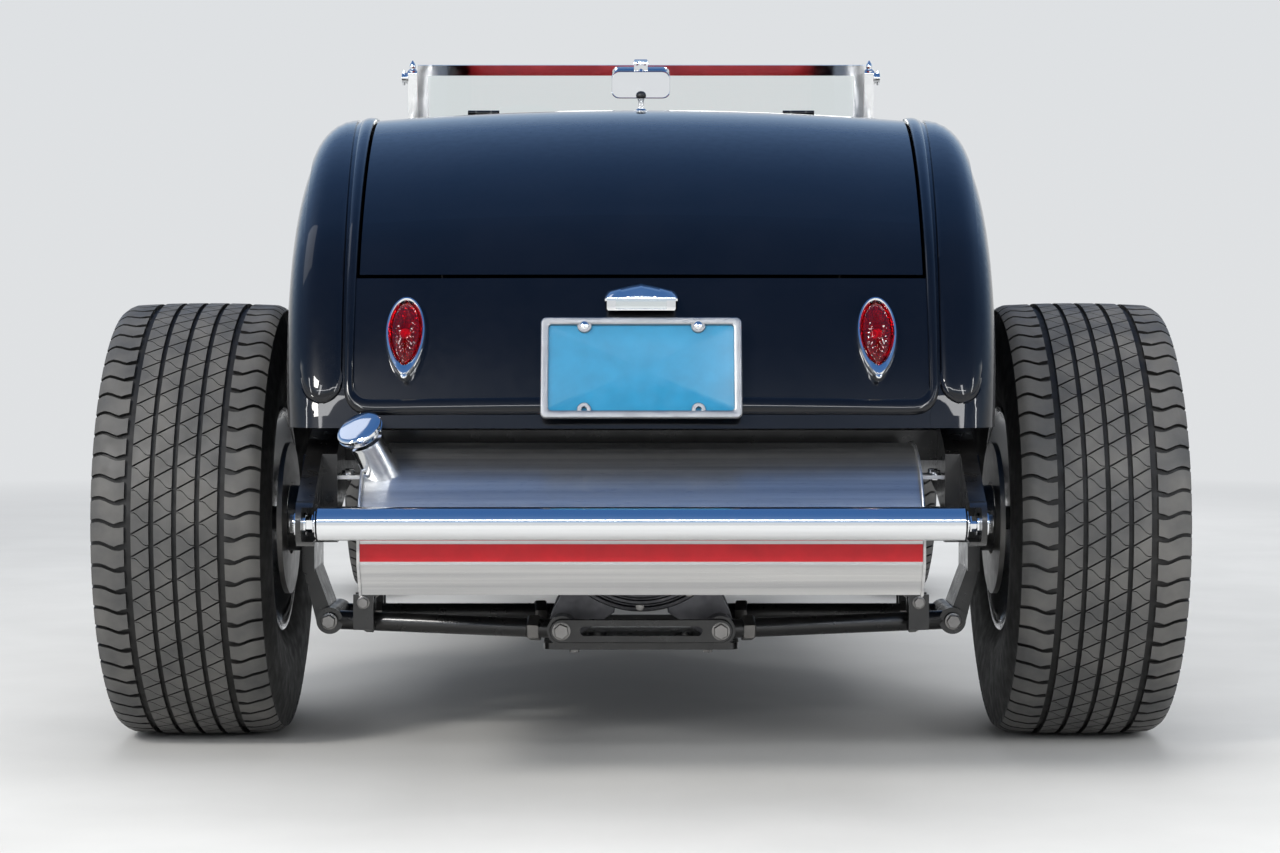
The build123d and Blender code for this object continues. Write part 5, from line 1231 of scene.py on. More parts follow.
def reveal_foot(skin, side, columns=9):
    """Rows over the round lower end of the wide bead."""
    near = lid_edge(-TAIL_SETBACK) + BEAD_NEAR[0]
    radius, x_mid = 32, near + 32
    z_mid = 630 + radius
    rows, lifts = [], []
    for degrees_up in (6, 16, 28, 40, 52, 64, 76):
        turn = radians(degrees_up)
        places, lift = [], []
        for grow, height in ((2.8, -1.2), (0.7, 2.4)):
            places.append((x_mid - (radius + grow) * sin(turn), z_mid - (radius + grow) * cos(turn)))
            lift.append(height)
        for k in range(columns):
            share = -1 + 2 * k / (columns - 1)
            x = (radius - 0.9) * sin(turn) * share
            z = (radius - 0.9) * cos(turn)
            places.append((x_mid + x, z_mid - z))
            lift.append(0.9 + crown(radius - sqrt(x * x + z * z), radius, 3.4))
        for grow, height in ((0.7, 2.4), (2.8, -1.2)):
            places.append((x_mid + (radius + grow) * sin(turn), z_mid - (radius + grow) * cos(turn)))
            lift.append(height)
        row = []
        for x, z in places:
            spot, out = tail_spot(x, z)
            row.append(skin.cast(Vector((spot.x * side, spot.y, spot.z)) + out * 0.08, -out))
        rows.append(row)
        lifts.append(lift)
    return rows, lifts


def make_reveal(skin, form, side):
    """Wide bead from its round foot on the tail, over the shoulder, to the door."""
    rows, lifts = reveal_foot(skin, side)
    hints = [Vector((0, -1, 0.3))] * len(rows)
    spots = []
    for step in range(44):
        slope = 68.6 * (1 - step / 43)
        ahead, z, out = deck_at(slope)
        spots.append((lid_edge(ahead) + lerp(*BEAD_NEAR, ahead) + 10, ahead, z, out))
    for step in range(1, 21):
        ahead = 214 + (756 - 214) * step / 20
        share = min(1, max(0, (ahead - LID_FRONT) / (BELT_START - LID_FRONT)))
        spots.append((544 - 40 * share, ahead, 1145 - 45 * share, Vector((0, 0, 1))))
    for x, ahead, z, out in spots:
        centre = at(side * x, ahead, z) - out * 0.095
        found = shoulder_row(skin, centre, out, side)
        if found:
            rows.append(found[0])
            lifts.append(found[1])
            hints.append(out + Vector((side * 0.8, 0, 0)))
    mould(form, rows, lifts, hints)


def make_belt(skin, form, side, start, end):
    """The bead along a door top or the cowl side."""
    rows, lifts = [], []
    for step in range(13):
        ahead = start + (end - start) * step / 12
        inward = 470 - 120 * max(0, ahead - 1380) / 470
        found = shoulder_row(skin, at(side * inward, ahead, 1010), Vector((0, 0, 1)), side)
        if found:
            rows.append(found[0])
            lifts.append(found[1])
    mould(form, rows, lifts, [Vector((side, 0, 0.4))] * len(rows))


def make_beads():
    """Ridge, reveal and belt mouldings of both sides, the door's own one on the door."""
    for side, name in SIDES:
        rear = Skin(f"quarter_{name}", "tail_panel", "cockpit_rear_panel")
        ridge = Form()
        make_ridge(rear, ridge, side)
        ridge.piece(f"ridge_{name}", "chassis", PAINT, "body_paint", smooth=50)
        reveal = Form()
        make_reveal(rear, reveal, side)
        reveal.piece(f"reveal_{name}", "chassis", PAINT, "body_paint", smooth=50)
        belt = Form()
        make_belt(Skin(f"door_{name}"), belt, side, 767.5, 1377.5)
        belt.piece(f"door_bead_{name}", f"door_{name}", PAINT, "body_paint", smooth=50)
        cowl = Form()
        make_belt(Skin("cowl"), cowl, side, 1386.5, 1848.5)
        cowl.piece(f"cowl_bead_{name}", "chassis", PAINT, "body_paint", smooth=50)


make_beads()


# Upholstery

BELL_BASE = 2.718  # base of the soft cap on the cloth and of the dips at the seams
PAD_FLOOR = 628  # underside of the bench pads
TRIM_REAR, TRIM_FOOT, TRIM_TOP = 778, 532, 998
TRIM_SEAM, TRIM_PITCH = 904, 44
SHIELD_FOOT, SHIELD_LEAN = (1440, 1117), radians(13)
GAUGE_Z, DASH_AHEAD = 1032, 1389
MAT_Z, MAT_LIFT = 507, (0, 0, 0.009)
PEDAL_AHEAD = 1752
MIRROR_WIDTH, MIRROR_HEIGHT = 137, 63


def rounded_loop(corners, step):
    """Closed outline through (ahead, z, radius) corners with points no more than a step apart."""
    points = []
    for i, (u, z, radius) in enumerate(corners):
        here = Vector((u, z))
        first = (Vector(corners[i - 1][:2]) - here).normalized()
        second = (Vector(corners[(i + 1) % len(corners)][:2]) - here).normalized()
        half = first.angle(second) / 2
        centre = here + (first + second).normalized() * radius / sin(half)
        start = here + first * radius / tan(half) - centre
        end = here + second * radius / tan(half) - centre
        low = atan2(start.y, start.x)
        swing = (atan2(end.y, end.x) - low + pi) % (2 * pi) - pi
        pieces = max(2, round(abs(swing) * radius / step))
        for k in range(pieces + 1):
            angle = low + swing * k / pieces
            points.append(centre + Vector((cos(angle), sin(angle))) * radius)
    loop = []
    for a, b in zip(points, points[1:] + points[:1]):
        pieces = max(1, round((b - a).length / step))
        loop += [a.lerp(b, k / pieces) for k in range(pieces)]
    return loop


def pleat_columns(half, pitch, count):
    """X of the columns of a pleated pad and how deep each lies in its valley, 0 to 1."""
    columns = []
    edge = pitch * count / 2
    for n in range(count):
        for share in (0, 0.09, 0.2, 0.35, 0.5, 0.65, 0.8, 0.91):
            columns.append((-edge + pitch * (n + share), (1 - 2 * share) ** 4))
    columns.append((edge, 1.0))
    margin = [edge + (half - edge) * k / 5 for k in range(1, 6)]
    return [(-x, 0.0) for x in margin[::-1]] + columns + [(x, 0.0) for x in margin]


def swell(rings, limits):
    """Cushion form blown up by cloth under pressure, its points kept within limits per axis in mm."""
    form = Form()
    form.rings(rings, cap=False)
    size = len(rings[0])
    for row, turn in ((0, 1), (len(rings) - 1, -1)):
        form.bm.verts.ensure_lookup_table()
        ring = [form.bm.verts[row * size + i] for i in range(size)]
        tip = form.bm.verts.new(sum((v.co for v in ring), Vector()) / size)
        for i in range(size):
            j = (i + 1) % size
            form.bm.faces.new((ring[i], ring[j], tip)[::turn])
    bmesh.ops.recalc_face_normals(form.bm, faces=form.bm.faces[:])
    mesh = bpy.data.meshes.new("pad_start")
    form.bm.to_mesh(mesh)
    form.bm.free()
    pad = bpy.data.objects.new("pad_start", mesh)
    bpy.context.scene.collection.objects.link(pad)
    cloth = pad.modifiers.new("pressure", "CLOTH")
    cloth.settings.use_pressure = True
    cloth.settings.uniform_pressure_force = 4
    cloth.settings.effector_weights.gravity = 0
    for number in range(1, 21):
        bpy.context.scene.frame_set(number)
    result = bpy.data.meshes.new_from_object(pad.evaluated_get(bpy.context.evaluated_depsgraph_get()))
    for before, after in zip(mesh.vertices, result.vertices):
        for axis, limit in enumerate(limits):
            moved = (after.co[axis] - before.co[axis]) * 1000
            before.co[axis] += limit * (2 / (1 + BELL_BASE ** (-2 * moved / limit)) - 1) / 1000
    bpy.data.objects.remove(pad)
    bpy.data.meshes.remove(result)
    bpy.context.scene.frame_set(1)
    return mesh


def along_loop(loop):
    """Distance round a loop of points from its first one."""
    lengths = [0.0]
    for a, b in zip(loop, loop[1:]):
        lengths.append(lengths[-1] + (b - a).length)
    return lengths


def make_pad(name, node, corners, half, pitch, count, limits, span, seams, ends):
    """Sewn bench pad: swollen form, pleats across the span of its section, piped seams."""
    loop = rounded_loop(corners, 11)
    lengths = along_loop(loop)
    middle = sum(loop, Vector((0, 0))) / len(loop)
    columns = pleat_columns(half - 14, pitch, count)
    levels = [(x, valley, 1.0) for x, valley in columns]
    edge = [(half - 8, 0.985), (half - 2.5, 0.955)] + [
        (half, share) for share in (0.9, 0.78, 0.6, 0.4, 0.2)
    ]
    levels = [(-x, 0, share) for x, share in edge[::-1]] + levels + [(x, 0, share) for x, share in edge]
    rings = []
    for x, _, share in levels:
        rings.append([at(x, *(middle + (p - middle) * share)) for p in loop])
    mesh = swell(rings, limits)
    mesh.update()
    size = len(loop)
    ways = [v.normal.copy() for v in mesh.vertices]
    pipes = Form()
    start, end = span
    for row, (x, valley, share) in enumerate(levels):
        for i in range(size):
            v = mesh.vertices[row * size + i]
            s = lengths[i]
            near = min(s - start, end - s)
            depth = valley * 8.5 * min(1, max(0, near / 16)) if share == 1 else 0
            for seam in seams:
                gap = min(abs(s - seam), lengths[-1] - abs(s - seam)) / 9
                depth += 3.5 * BELL_BASE ** (-gap * gap) if share > 0.95 else 0
            if near > 0 and share == 1 and abs(x) > pitch * count / 2:
                reach = (abs(x) - pitch * count / 2) / 7
                depth += 7 * BELL_BASE ** (-reach * reach)
            v.co -= ways[row * size + i] * depth / 1000
            v.co.z = max(v.co.z, PAD_FLOOR / 1000)
            v.co.y = min(max(v.co.y, at(0, ends[0], 0).y), at(0, ends[1], 0).y)
    for seam in seams:
        i = min(range(size), key=lambda k: abs(lengths[k] - seam))
        path = []
        for row, (_, _, share) in enumerate(levels):
            if share >= 0.955:
                v = mesh.vertices[row * size + i]
                path.append(v.co + ways[row * size + i] * 0.0022)
        pipes.tube(path, 3.6, 10)
    for row in (6, len(levels) - 7):
        path = [mesh.vertices[row * size + i].co + ways[row * size + i] * 0.0012 for i in range(size)]
        pipes.tube([p for p in path if p.z > PAD_FLOOR / 1000 + 0.006], 3.4, 10)
    made = bpy.data.objects.new(name, mesh)
    bpy.context.scene.collection.objects.link(made)
    mesh.materials.append(LEATHER)
    modifier = made.modifiers.new("smooth", "SUBSURF")
    modifier.levels = modifier.render_levels = 1
    shade(made, 80)
    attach(made, "chassis")
    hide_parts(node)
    pipes.piece(name + "_piping", "chassis", LEATHER, "red_leather", smooth=60)


def make_seats():
    """Cushion and back of the bench, each from the corners of its section."""
    cushion = [(588, 631, 10), (588, 738, 34), (984, 738, 46), (988, 631, 10)]
    make_pad(
        "bench_cushion", "seat_cushion", cushion, 488, 47, 19, (9, 9, 24), (110, 470), (118, 512),
        (578, 999)
    )
    back = [(556, 631, 12), (436, 631, 8), (436, 1062, 30), (520, 1062, 34), (561, 760, 40)]
    make_pad(
        "bench_back", "seat_back", back, 468, 45, 19, (9, 11, 18), (720, 1080), (700, 1096), (432, 575)
    )


def pleat(u, pitch):
    """Rise of a sewn roll at a distance, 0 in the seam and 1 on top."""
    share = (u / pitch) % 1
    return 1 - (1 - 2 * share) ** 4


def make_door_panels():
    """Red trim panels on the doors' inner faces with pleats, a plain top band and a pull."""
    for side, word in SIDES:
        skin = Skin(f"door_{word}")
        panel, pull = Form(), Form()
        rows = []
        stations = list(range(TRIM_REAR, 1365, 5))
        heights = [532, 534, 538, 546] + [558 + 9 * k for k in range(38)]
        heights += [896, 901, 904, 907, 912, 922, 936, 950, 964, 978, 988, 994, 997, 998]
        for z in heights:
            front, rear = [], []
            for u in stations:
                spot = skin.cast(at(0, u, z), Vector((side, 0, 0)), 0.8)
                if spot is None:
                    continue
                rim = min(u - TRIM_REAR, stations[-1] - u, z - TRIM_FOOT, TRIM_TOP - z)
                height = 2 + 5 * min(1, rim / 9) ** 0.5
                if 560 < z < 896:
                    height += 4.5 * pleat(u - TRIM_REAR, TRIM_PITCH) * min(
                        1, (z - 560) / 12, (896 - z) / 12
                    )
                if abs(z - TRIM_SEAM) < 9:
                    height -= 3 * (1 - abs(z - TRIM_SEAM) / 9)
                front.append(Vector((spot.x - side * height / 1000, spot.y, spot.z)))
                rear.append(Vector((spot.x - side * 0.0003, spot.y, spot.z)))
            rows.append(front + rear[::-1])
        panel.rings(rows)
        made = panel.piece(f"door_trim_{word}", f"door_{word}", LEATHER, "red_leather", smooth=60)
        spot = skin.cast(at(0, 905, 940), Vector((side, 0, 0)), 0.8)
        face = abs(spot.x) * 1000 - 7
        pull.lathe(
            at(side * face, 900, 942), (-side, 0, 0),
            [(-3, 17), (2, 17), (4, 15), (5, 9), (16, 8), (20, 6)]
        )
        pull.tube(
            [
                at(side * (face - 15), 900, 942), at(side * (face - 20), 925, 944),
                at(side * (face - 21), 960, 940), at(side * (face - 17), 990, 930),
            ],
            [6, 5.5, 5, 6.5],
        )
        for u in (1080, 1250):
            pull.lathe(
                at(side * (face + 1), u, 946), (-side, 0, 0),
                [(-2, 10), (3, 10), (14, 7), (22, 7), (25, 5)]
            )
        pull.tube(
            [at(side * (face - 20), 1080 + 17 * k, 946 + 8 * sin(pi * k / 10)) for k in range(11)], 6.5
        )
        pull.piece(f"door_pull_{word}", f"door_{word}", CHROME, "chrome")


# Cabin floor, controls and gauges


def make_carpet_mats():
    """Mats behind and beside the gearbox tunnel, and the one over it."""
    mats = Form()
    outline = [(-528, 974), (528, 974), (524, 1330), (-524, 1330)]
    mats.plate([at(x, u, MAT_Z) for x, u in outline], MAT_LIFT, 3)
    for side in (-1, 1):
        outline = [(174, 1336), (520, 1336), (426, 1818), (174, 1818)]
        mats.plate([at(side * x, u, MAT_Z) for x, u in outline], MAT_LIFT, 3)
    outer = [
        (-172, 508), (-172, 606), (-167, 620), (-154, 628), (154, 628), (167, 620), (172, 606), (172, 508)
    ]
    inner = [(165.5, 508), (165.5, 622.5), (-165.5, 622.5), (-165.5, 508)]
    mats.rings([[at(x, u, z) for x, z in outer + inner] for u in (1334, 1420, 1600, 1824)])
    mats.plate([at(x, 1333, z) for x, z in outer], at(0, 1339, 0) - at(0, 1333, 0))
    mats.piece("carpet_mats", "chassis", CARPET, "red_leather", smooth=40)


def make_controls():
    """Gear lever with its boot, and three pedals on arms from the firewall."""
    metal, black = Form(), Form()
    black.lathe(
        at(0, 1400, 627), (0, 0, 1), [(0, 46), (4, 44), (14, 34), (24, 29), (30, 24), (42, 13), (46, 9)]
    )
    metal.lathe(at(0, 1400, 627), (0, 0, 1), [(0, 54), (3, 54), (4.5, 52), (4.5, 44)])
    lever = [at(0, 1400, 665), at(0, 1385, 730), at(-4, 1352, 800), at(-10, 1322, 852)]
    metal.tube(lever, [8, 7, 6.5, 6])
    ball = [(24 - 24 * cos(pi * k / 14), 24 * sin(pi * k / 14)) for k in range(15)]
    black.lathe(at(-10, 1324, 848), (-0.06, -0.4, 0.9), ball, 32)
    wide, high, z = 30, 27, 648
    for x in (-352, -232):
        metal.tube(
            [at(x, 1826, 700), at(x, 1800, 712), at(x, 1768, 700), at(x, PEDAL_AHEAD, z + 8)],
            [8, 8, 7, 7]
        )
        metal.lathe(at(x, 1822, 700), (0, -1, 0), [(-1, 17), (5, 17), (8, 14), (12, 10)])
        outline = [at(x + a, PEDAL_AHEAD, z + b) for a, b in rounded(wide * 2, high * 2, 7)]
        black.plate(outline, at(0, PEDAL_AHEAD - 10, -4) - at(0, PEDAL_AHEAD, 0), 2)
        for k in range(-2, 3):
            black.box((x - wide + 6, x + wide - 6), (1737, 1745), (z + k * 9 - 6, z + k * 9 - 1), 0.8)
    black.plate(
        [at(-192 + a, 1782 + b * 0.34, 570 + b) for a, b in rounded(40, 112, 8)],
        at(0, 1770, 2) - at(0, 1782, 0), 2,
    )
    metal.tube([at(-192, 1822, 640), at(-192, 1806, 616), at(-192, 1796, 590)], [6, 6, 6])
    metal.piece("control_levers", "chassis", CHROME, "chrome")
    black.piece("pedal_pads", "chassis", PLASTIC, "wheel_rim_plastic")


def make_steering_wheel():
    """Three-spoke wheel: rim with finger grips, drilled spokes, boss and horn button."""
    hub, end = Vector((-280, 1130, 1010)), Vector((-280, 2390, 430))
    way = (hub - end).normalized()
    side, up = Vector((1, 0, 0)), way.cross(Vector((1, 0, 0)))
    centre = at(*hub)

    def spot(a, b, lift=0):
        """Point of the wheel's plane, a to the right and b up, lifted towards the bench."""
        return centre + (side * a + up * b + way * lift) / 1000

    rim, metal, button = Form(), Form(), Form()
    rings = []
    for i in range(144):
        turn = 2 * pi * i / 144
        grip = max(0, cos(turn * 24)) ** 2
        ring = []
        for a, b in circle(18):
            radius = 12 - 1.3 * grip * max(0, -a)
            away = 175 + radius * a
            ring.append(spot(away * cos(turn), away * sin(turn), radius * b))
        rings.append(ring)
    rim.rings(rings, closed=True)
    for turn in (0, pi, 1.5 * pi):
        along, across = Vector((cos(turn), sin(turn))), Vector((-sin(turn), cos(turn)))
        for low, high in ((-11, -6.5), (6.5, 11)):
            corners = []
            for away, wide in ((34, 1.25), (80, 1.0), (130, 0.92), (168, 1.0)):
                corners.append(along * away + across * low * wide)
            for away, wide in ((168, 1.0), (130, 0.92), (80, 1.0), (34, 1.25)):
                corners.append(along * away + across * high * wide)
            metal.plate([spot(p.x, p.y, -5) for p in corners], way * 0.004)
        for away in (40, 62, 84, 106, 128, 150, 166):
            p = along * away
            a, b = p + across * 8.5, p - across * 8.5
            metal.plate(
                [spot(q.x, q.y, -4.9) for q in (a + along * 3, b + along * 3, b - along * 3, a - along * 3)],
                way * 0.0038,
            )
    metal.lathe(
        centre, way,
        [(-45, 27), (-38, 29.5), (-14, 29.5), (-8, 36), (-7, 44), (-4, 46), (-0.5, 46), (1, 43), (1, 31)]
    )
    button.lathe(centre, way, [(0.5, 31), (3, 30.5), (5, 27), (6.8, 20), (7.8, 11), (8, 0)], 48)
    for k in range(6):
        p = Vector((cos(pi * k / 3 + 0.5), sin(pi * k / 3 + 0.5))) * 38
        metal.lathe(spot(p.x, p.y, 0.8), way, [(0, 3.6), (1.6, 3.6), (2.6, 2.4), (2.8, 0)], 16)
    wheel = rim.piece("wheel_grip", "steering_wheel", PLASTIC, "wheel_rim_plastic", smooth=60)
    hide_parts("steering_wheel")
    metal.piece("wheel_spokes", "steering_wheel", BRUSHED_FINE, "chrome")
    button.piece("horn_button", "steering_wheel", CHROME, "chrome", smooth=60)


def make_gauges():
    """Six round instruments with blank white faces, and small switches below them."""
    rims, faces, marks, glass = Form(), Form(), Form(), Form()
    for x, radius, swing in (
        (-352, 48, 0.3), (-208, 48, 0.5), (-105, 29, 0.35), (-35, 29, 0.6), (35, 29, 0.45),
        (105, 29, 0.55),
    ):
        back = (0, -1, 0)
        rims.lathe(
            at(x, DASH_AHEAD, GAUGE_Z), back,
            [
                (-1, radius + 1), (4, radius), (6.5, radius - 2.5), (7, radius - 4), (3.5, radius - 6),
                (1, radius - 6)
            ],
            56,
        )
        faces.lathe(at(x, DASH_AHEAD, GAUGE_Z), back, [(-0.5, radius - 5), (1.4, radius - 5), (1.6, 0)], 48)
        glass.lathe(
            at(x, DASH_AHEAD - 4, GAUGE_Z), back, [(0, radius - 5.5), (1.4, radius - 5.5), (2, 0)], 48
        )
        for k in range(21):
            turn = radians(-135 + 13.5 * k)
            size = 8 if k % 5 == 0 else 5
            way = Vector((sin(turn), 0, cos(turn)))
            end = at(x, 1387.2, GAUGE_Z) + way * (radius - 8) / 1000
            marks.rod(end, end - way * size / 1000, 0.7 if k % 5 else 1.1, 8, 0.2)
        turn = radians(-135 + 270 * swing)
        way = Vector((sin(turn), 0, cos(turn)))
        middle = at(x, 1386.6, GAUGE_Z)
        marks.tube([middle - way * 0.006, middle + way * (radius - 12) / 1000], [1.6, 0.5], 8)
        marks.lathe(middle, back, [(-0.6, 4), (1, 4), (1.4, 2.6)], 20)
    for x in (-70, 0, 70, 420, 300):
        rims.lathe(
            at(x, DASH_AHEAD, 980), (0, -1, 0),
            [(-1, 9), (2, 9), (3, 4), (12, 4), (13, 8.5), (20, 8.5), (22, 6)], 24
        )
    rims.piece("gauge_rims", "chassis", CHROME, "chrome")
    faces.piece("gauge_faces", "chassis", WHITE, "chrome")
    marks.piece("gauge_needles", "chassis", PLASTIC, "wheel_rim_plastic")
    glass.piece("gauge_glass", "chassis", GLASS, "clear_glass")


# Windshield posts, mirrors and the lid's knob


def shield_line(z):
    """Distance ahead of the windshield's leaning plane at a height."""
    return SHIELD_FOOT[0] - (z - SHIELD_FOOT[1]) * tan(SHIELD_LEAN)


def make_post_trim():
    """Finials, wing nuts, screws and buttons on both windshield posts."""
    trim = Form()
    for side in (-1, 1):
        place = at(side * 533, shield_line(1338), 1338)
        trim.lathe(
            place, (0, -0.12, 1),
            [(-4, 10), (1, 10.5), (3, 9), (5, 6), (8, 7.5), (12, 7.8), (17, 5.5), (21, 3), (24.5, 1.2)],
            28,
        )
        knob = at(side * 545, shield_line(1322), 1322)
        trim.lathe(knob, (side, 0, 0), [(-2, 14), (1, 14), (2, 12), (5, 12)], 32)
        trim.tube(
            [knob + Vector((side * 0.009, 0, 0.001 * k)) for k in (-17, -9, 0, 9, 17)],
            [3.4, 4.4, 5.5, 4.4, 3.4]
        )
        for z in (1062, 1092):
            trim.bolt(at(side * 541, 1440, z), (side, 0, 0), 6)
        for z in (1150, 1250):
            trim.lathe(at(side * 543, shield_line(z), z), (side, 0, 0), [(-1, 5), (2, 4.5), (3.4, 2.4)], 20)
    trim.piece("post_trim", "chassis", CHROME, "chrome")


def make_mirrors():
    """Rear-view mirror on its bracket and the round one on the left post."""
    chrome, glass = Form(), Form()
    top, u = 1344, shield_line(1344)
    chrome.box((-16, 16), (u - 22, u - 7.6), (top - 11, top + 19), 2.5)
    for x in (-9, 9):
        chrome.lathe(at(x, u - 21.5, top + 9), (0, -1, 0), [(-1, 4.5), (1.6, 4), (2.6, 2)], 18)
    chrome.tube([at(0, u - 18, top - 6), at(0, u - 26, top - 18), at(0, u - 33, top - 29)], [6, 5, 7])
    levels = (
        (u - 30, 0.5), (u - 30.5, 0.86), (u - 34, 0.97), (u - 42, 1), (u - 45, 1), (u - 46, 0.97),
        (u - 45, 0.93)
    )
    outline = rounded(MIRROR_WIDTH, MIRROR_HEIGHT, 18)
    rows = []
    for ahead, share in levels:
        narrow = 1 - MIRROR_HEIGHT / 2 * (1 - share) / (MIRROR_WIDTH / 2)
        rows.append([at(a * narrow, ahead, top - 42 + b * share) for a, b in outline])
    chrome.rings(rows)
    rows = [[at(a * 0.968, u - d, top - 42 + b * 0.93) for a, b in outline] for d in (43, 45.4)]
    glass.rings(rows)
    side_mirror = at(-698, 1405, 1153)
    chrome.lathe(
        side_mirror, (0, 1, 0),
        [(1.5, 42), (0, 44), (0.6, 45.6), (3, 46), (9, 45), (16, 37), (22, 24), (25, 12), (26, 0)], 56,
    )
    glass.lathe(side_mirror, (0, 1, 0), [(0.8, 0), (0.8, 42.6), (3, 42.6), (3, 0)], 56)
    chrome.tube(
        [at(-544, 1435, 1075), at(-590, 1433, 1093), at(-640, 1431, 1122), at(-676, 1427, 1146)], 6.4
    )
    chrome.lathe(at(-543, 1435, 1075), (-1, 0, 0.35), [(-3, 15), (2, 15), (4, 13), (9, 9), (12, 8)], 28)
    chrome.lathe(at(-672, 1429, 1140), (-1, -0.2, 0.5), [(-6, 8), (0, 10), (6, 10), (10, 8)], 24)
    made = chrome.piece("mirror_bodies", "chassis", CHROME, "chrome")
    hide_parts("mirrors")
    glass.piece("mirror_glass", "chassis", MIRROR, "chrome")


def make_lid_knob():
    """Small knob on a chrome stem at the front of the deck lid."""
    knob, cap = Form(), Form()
    skin = Skin("deck_lid")
    foot = skin.cast(at(0, 196, 1300), Vector((0, 0, -1)), 0.5)
    knob.lathe(
        foot, (0, -0.08, 1), [(-2, 11), (2, 11), (4, 9.5), (6, 6.6), (20, 5.6), (23, 7), (25, 7)], 32
    )
    cap.lathe(foot, (0, -0.08, 1), [(24, 6.5), (27, 9), (31, 9.8), (35, 8.4), (38, 5), (39, 0)], 32)
    knob.piece("lid_knob_stem", "deck_lid", CHROME, "chrome")
    cap.piece("lid_knob", "deck_lid", PLASTIC, "chrome", smooth=60)


MIRROR = make_chrome("mirror_silver", (0.93, 0.94, 0.95, 1))
make_seats()
make_door_panels()
make_carpet_mats()
make_controls()
make_steering_wheel()
make_gauges()
make_post_trim()
make_mirrors()
make_lid_knob()


# Hood and grille


LOUVRE_COUNT, LOUVRE_PITCH, LOUVRE_START = 21, 26.5, 1965
LOUVRE_FOOT, LOUVRE_HEIGHT = 640, 215
LOUVRE = ((-0.6, -1.2), (-0.6, 6.6), (0.6, 7.8), (3.5, 7.4), (8, 5.2), (13, 2.4), (17, 0.3), (17.4, -1.2))


def make_louvres():
    """Rows of pressed louvres on both hood sides and the latches at their feet."""
    for side, word in SIDES:
        skin = Skin(f"hood_{word}")
        slots, latches = Form(), Form()
        for number in range(LOUVRE_COUNT):
            u = LOUVRE_START + LOUVRE_PITCH * number
            rows = []
            for k in range(13):
                z = LOUVRE_FOOT + LOUVRE_HEIGHT * k / 12
                size = (1 - abs(2 * k / 12 - 1) ** 5) ** 0.5
                near = skin.cast(at(side * 800, u, z), Vector((-side, 0, 0)), 0.8)
                far = skin.cast(at(side * 800, u + 17, z), Vector((-side, 0, 0)), 0.8)
                along = (far - near).normalized()
                out = Vector((along.y * side, -along.x * side, 0)).normalized()
                ring = []
                for a, b in LOUVRE:
                    height = b * max(size, 0.02) if b > 0 else b
                    ring.append(near + (along * (a * (0.75 + 0.25 * size)) + out * height) / 1000)
                rows.append(ring)
            slots.rings(rows)
        for u in (1990, 2440):
            spot = skin.cast(at(side * 800, u, 556), Vector((-side, 0, 0)), 0.8)
            latches.lathe(spot, (side, 0, 0), [(-1, 15), (2, 15), (3.5, 12), (6, 9), (12, 8), (14, 5)], 32)
            latches.tube(
                [spot + Vector((side * 0.009, 0.001 * a, 0.0005 * a)) for a in (-26, -10, 0, 10, 26)],
                [3, 4, 5, 4, 3]
            )
        slots.piece(f"louvres_{word}", f"hood_{word}", PAINT, "body_paint", smooth=40)
        latches.piece(f"hood_latches_{word}", f"hood_{word}", CHROME, "chrome")


def make_grille():
    """Round-nosed upright bars and two cross ties inside the shell."""
    skin = Skin("grille_shell")
    bars, trim = Form(), Form()
    front = GRILLE_FRONT
    pitch = 570 / 22
    middle = 780
    up, down = Vector((0, 0, 1)), Vector((0, 0, -1))
    for number in range(21):
        x = (number - 10) * pitch
        top = skin.cast(at(x, front - 6, middle), up)
        low = skin.cast(at(x, front - 6, middle), down)
        if top is None or low is None:
            continue
        rows = []
        for spot in (low, top):
            rows.append([spot + Vector((2.5 * a, 6 * b, 0)) / 1000 for a, b in circle(14)])
        bars.rings(rows)
    for z in (640, 890):
        reach = abs(skin.cast(at(0, front - 11, z), Vector((1, 0, 0))).x) * 1000
        bars.tube([at(-reach, front - 11, z), at(0, front - 11, z), at(reach, front - 11, z)], 3.2, 12)
    made = bars.piece("grille_uprights", "chassis", CHROME, "chrome", smooth=50)
    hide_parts("grille_bars")
    outline = []
    for a, b in circle(72):
        way = Vector((b, 0, a))
        spot = skin.cast(at(0, front + 6, middle), way, 0.6)
        outline.append(spot - way * 0.001)
    trim.tube(outline, 3.4, 10, closed=True)
    trim.piece("grille_bead", "chassis", CHROME, "chrome", smooth=60)


def make_radiator_core():
    """Fins that show between the bars."""
    fins = Form()
    skin = Skin("grille_shell")
    for k in range(40):
        z = 505 + 14 * k
        hit = skin.cast(at(0, 2668, z), Vector((1, 0, 0)), 0.5)
        if hit is None:
            continue
        reach = hit.x * 1000 - 4
        fins.box((-reach, reach), (2665.5, 2670), (z, z + 2.4), 0.5)
    fins.piece("radiator_fins", "chassis", PLASTIC, "engine_metal")


# Headlamps


LENS_RADIUS = 79.5


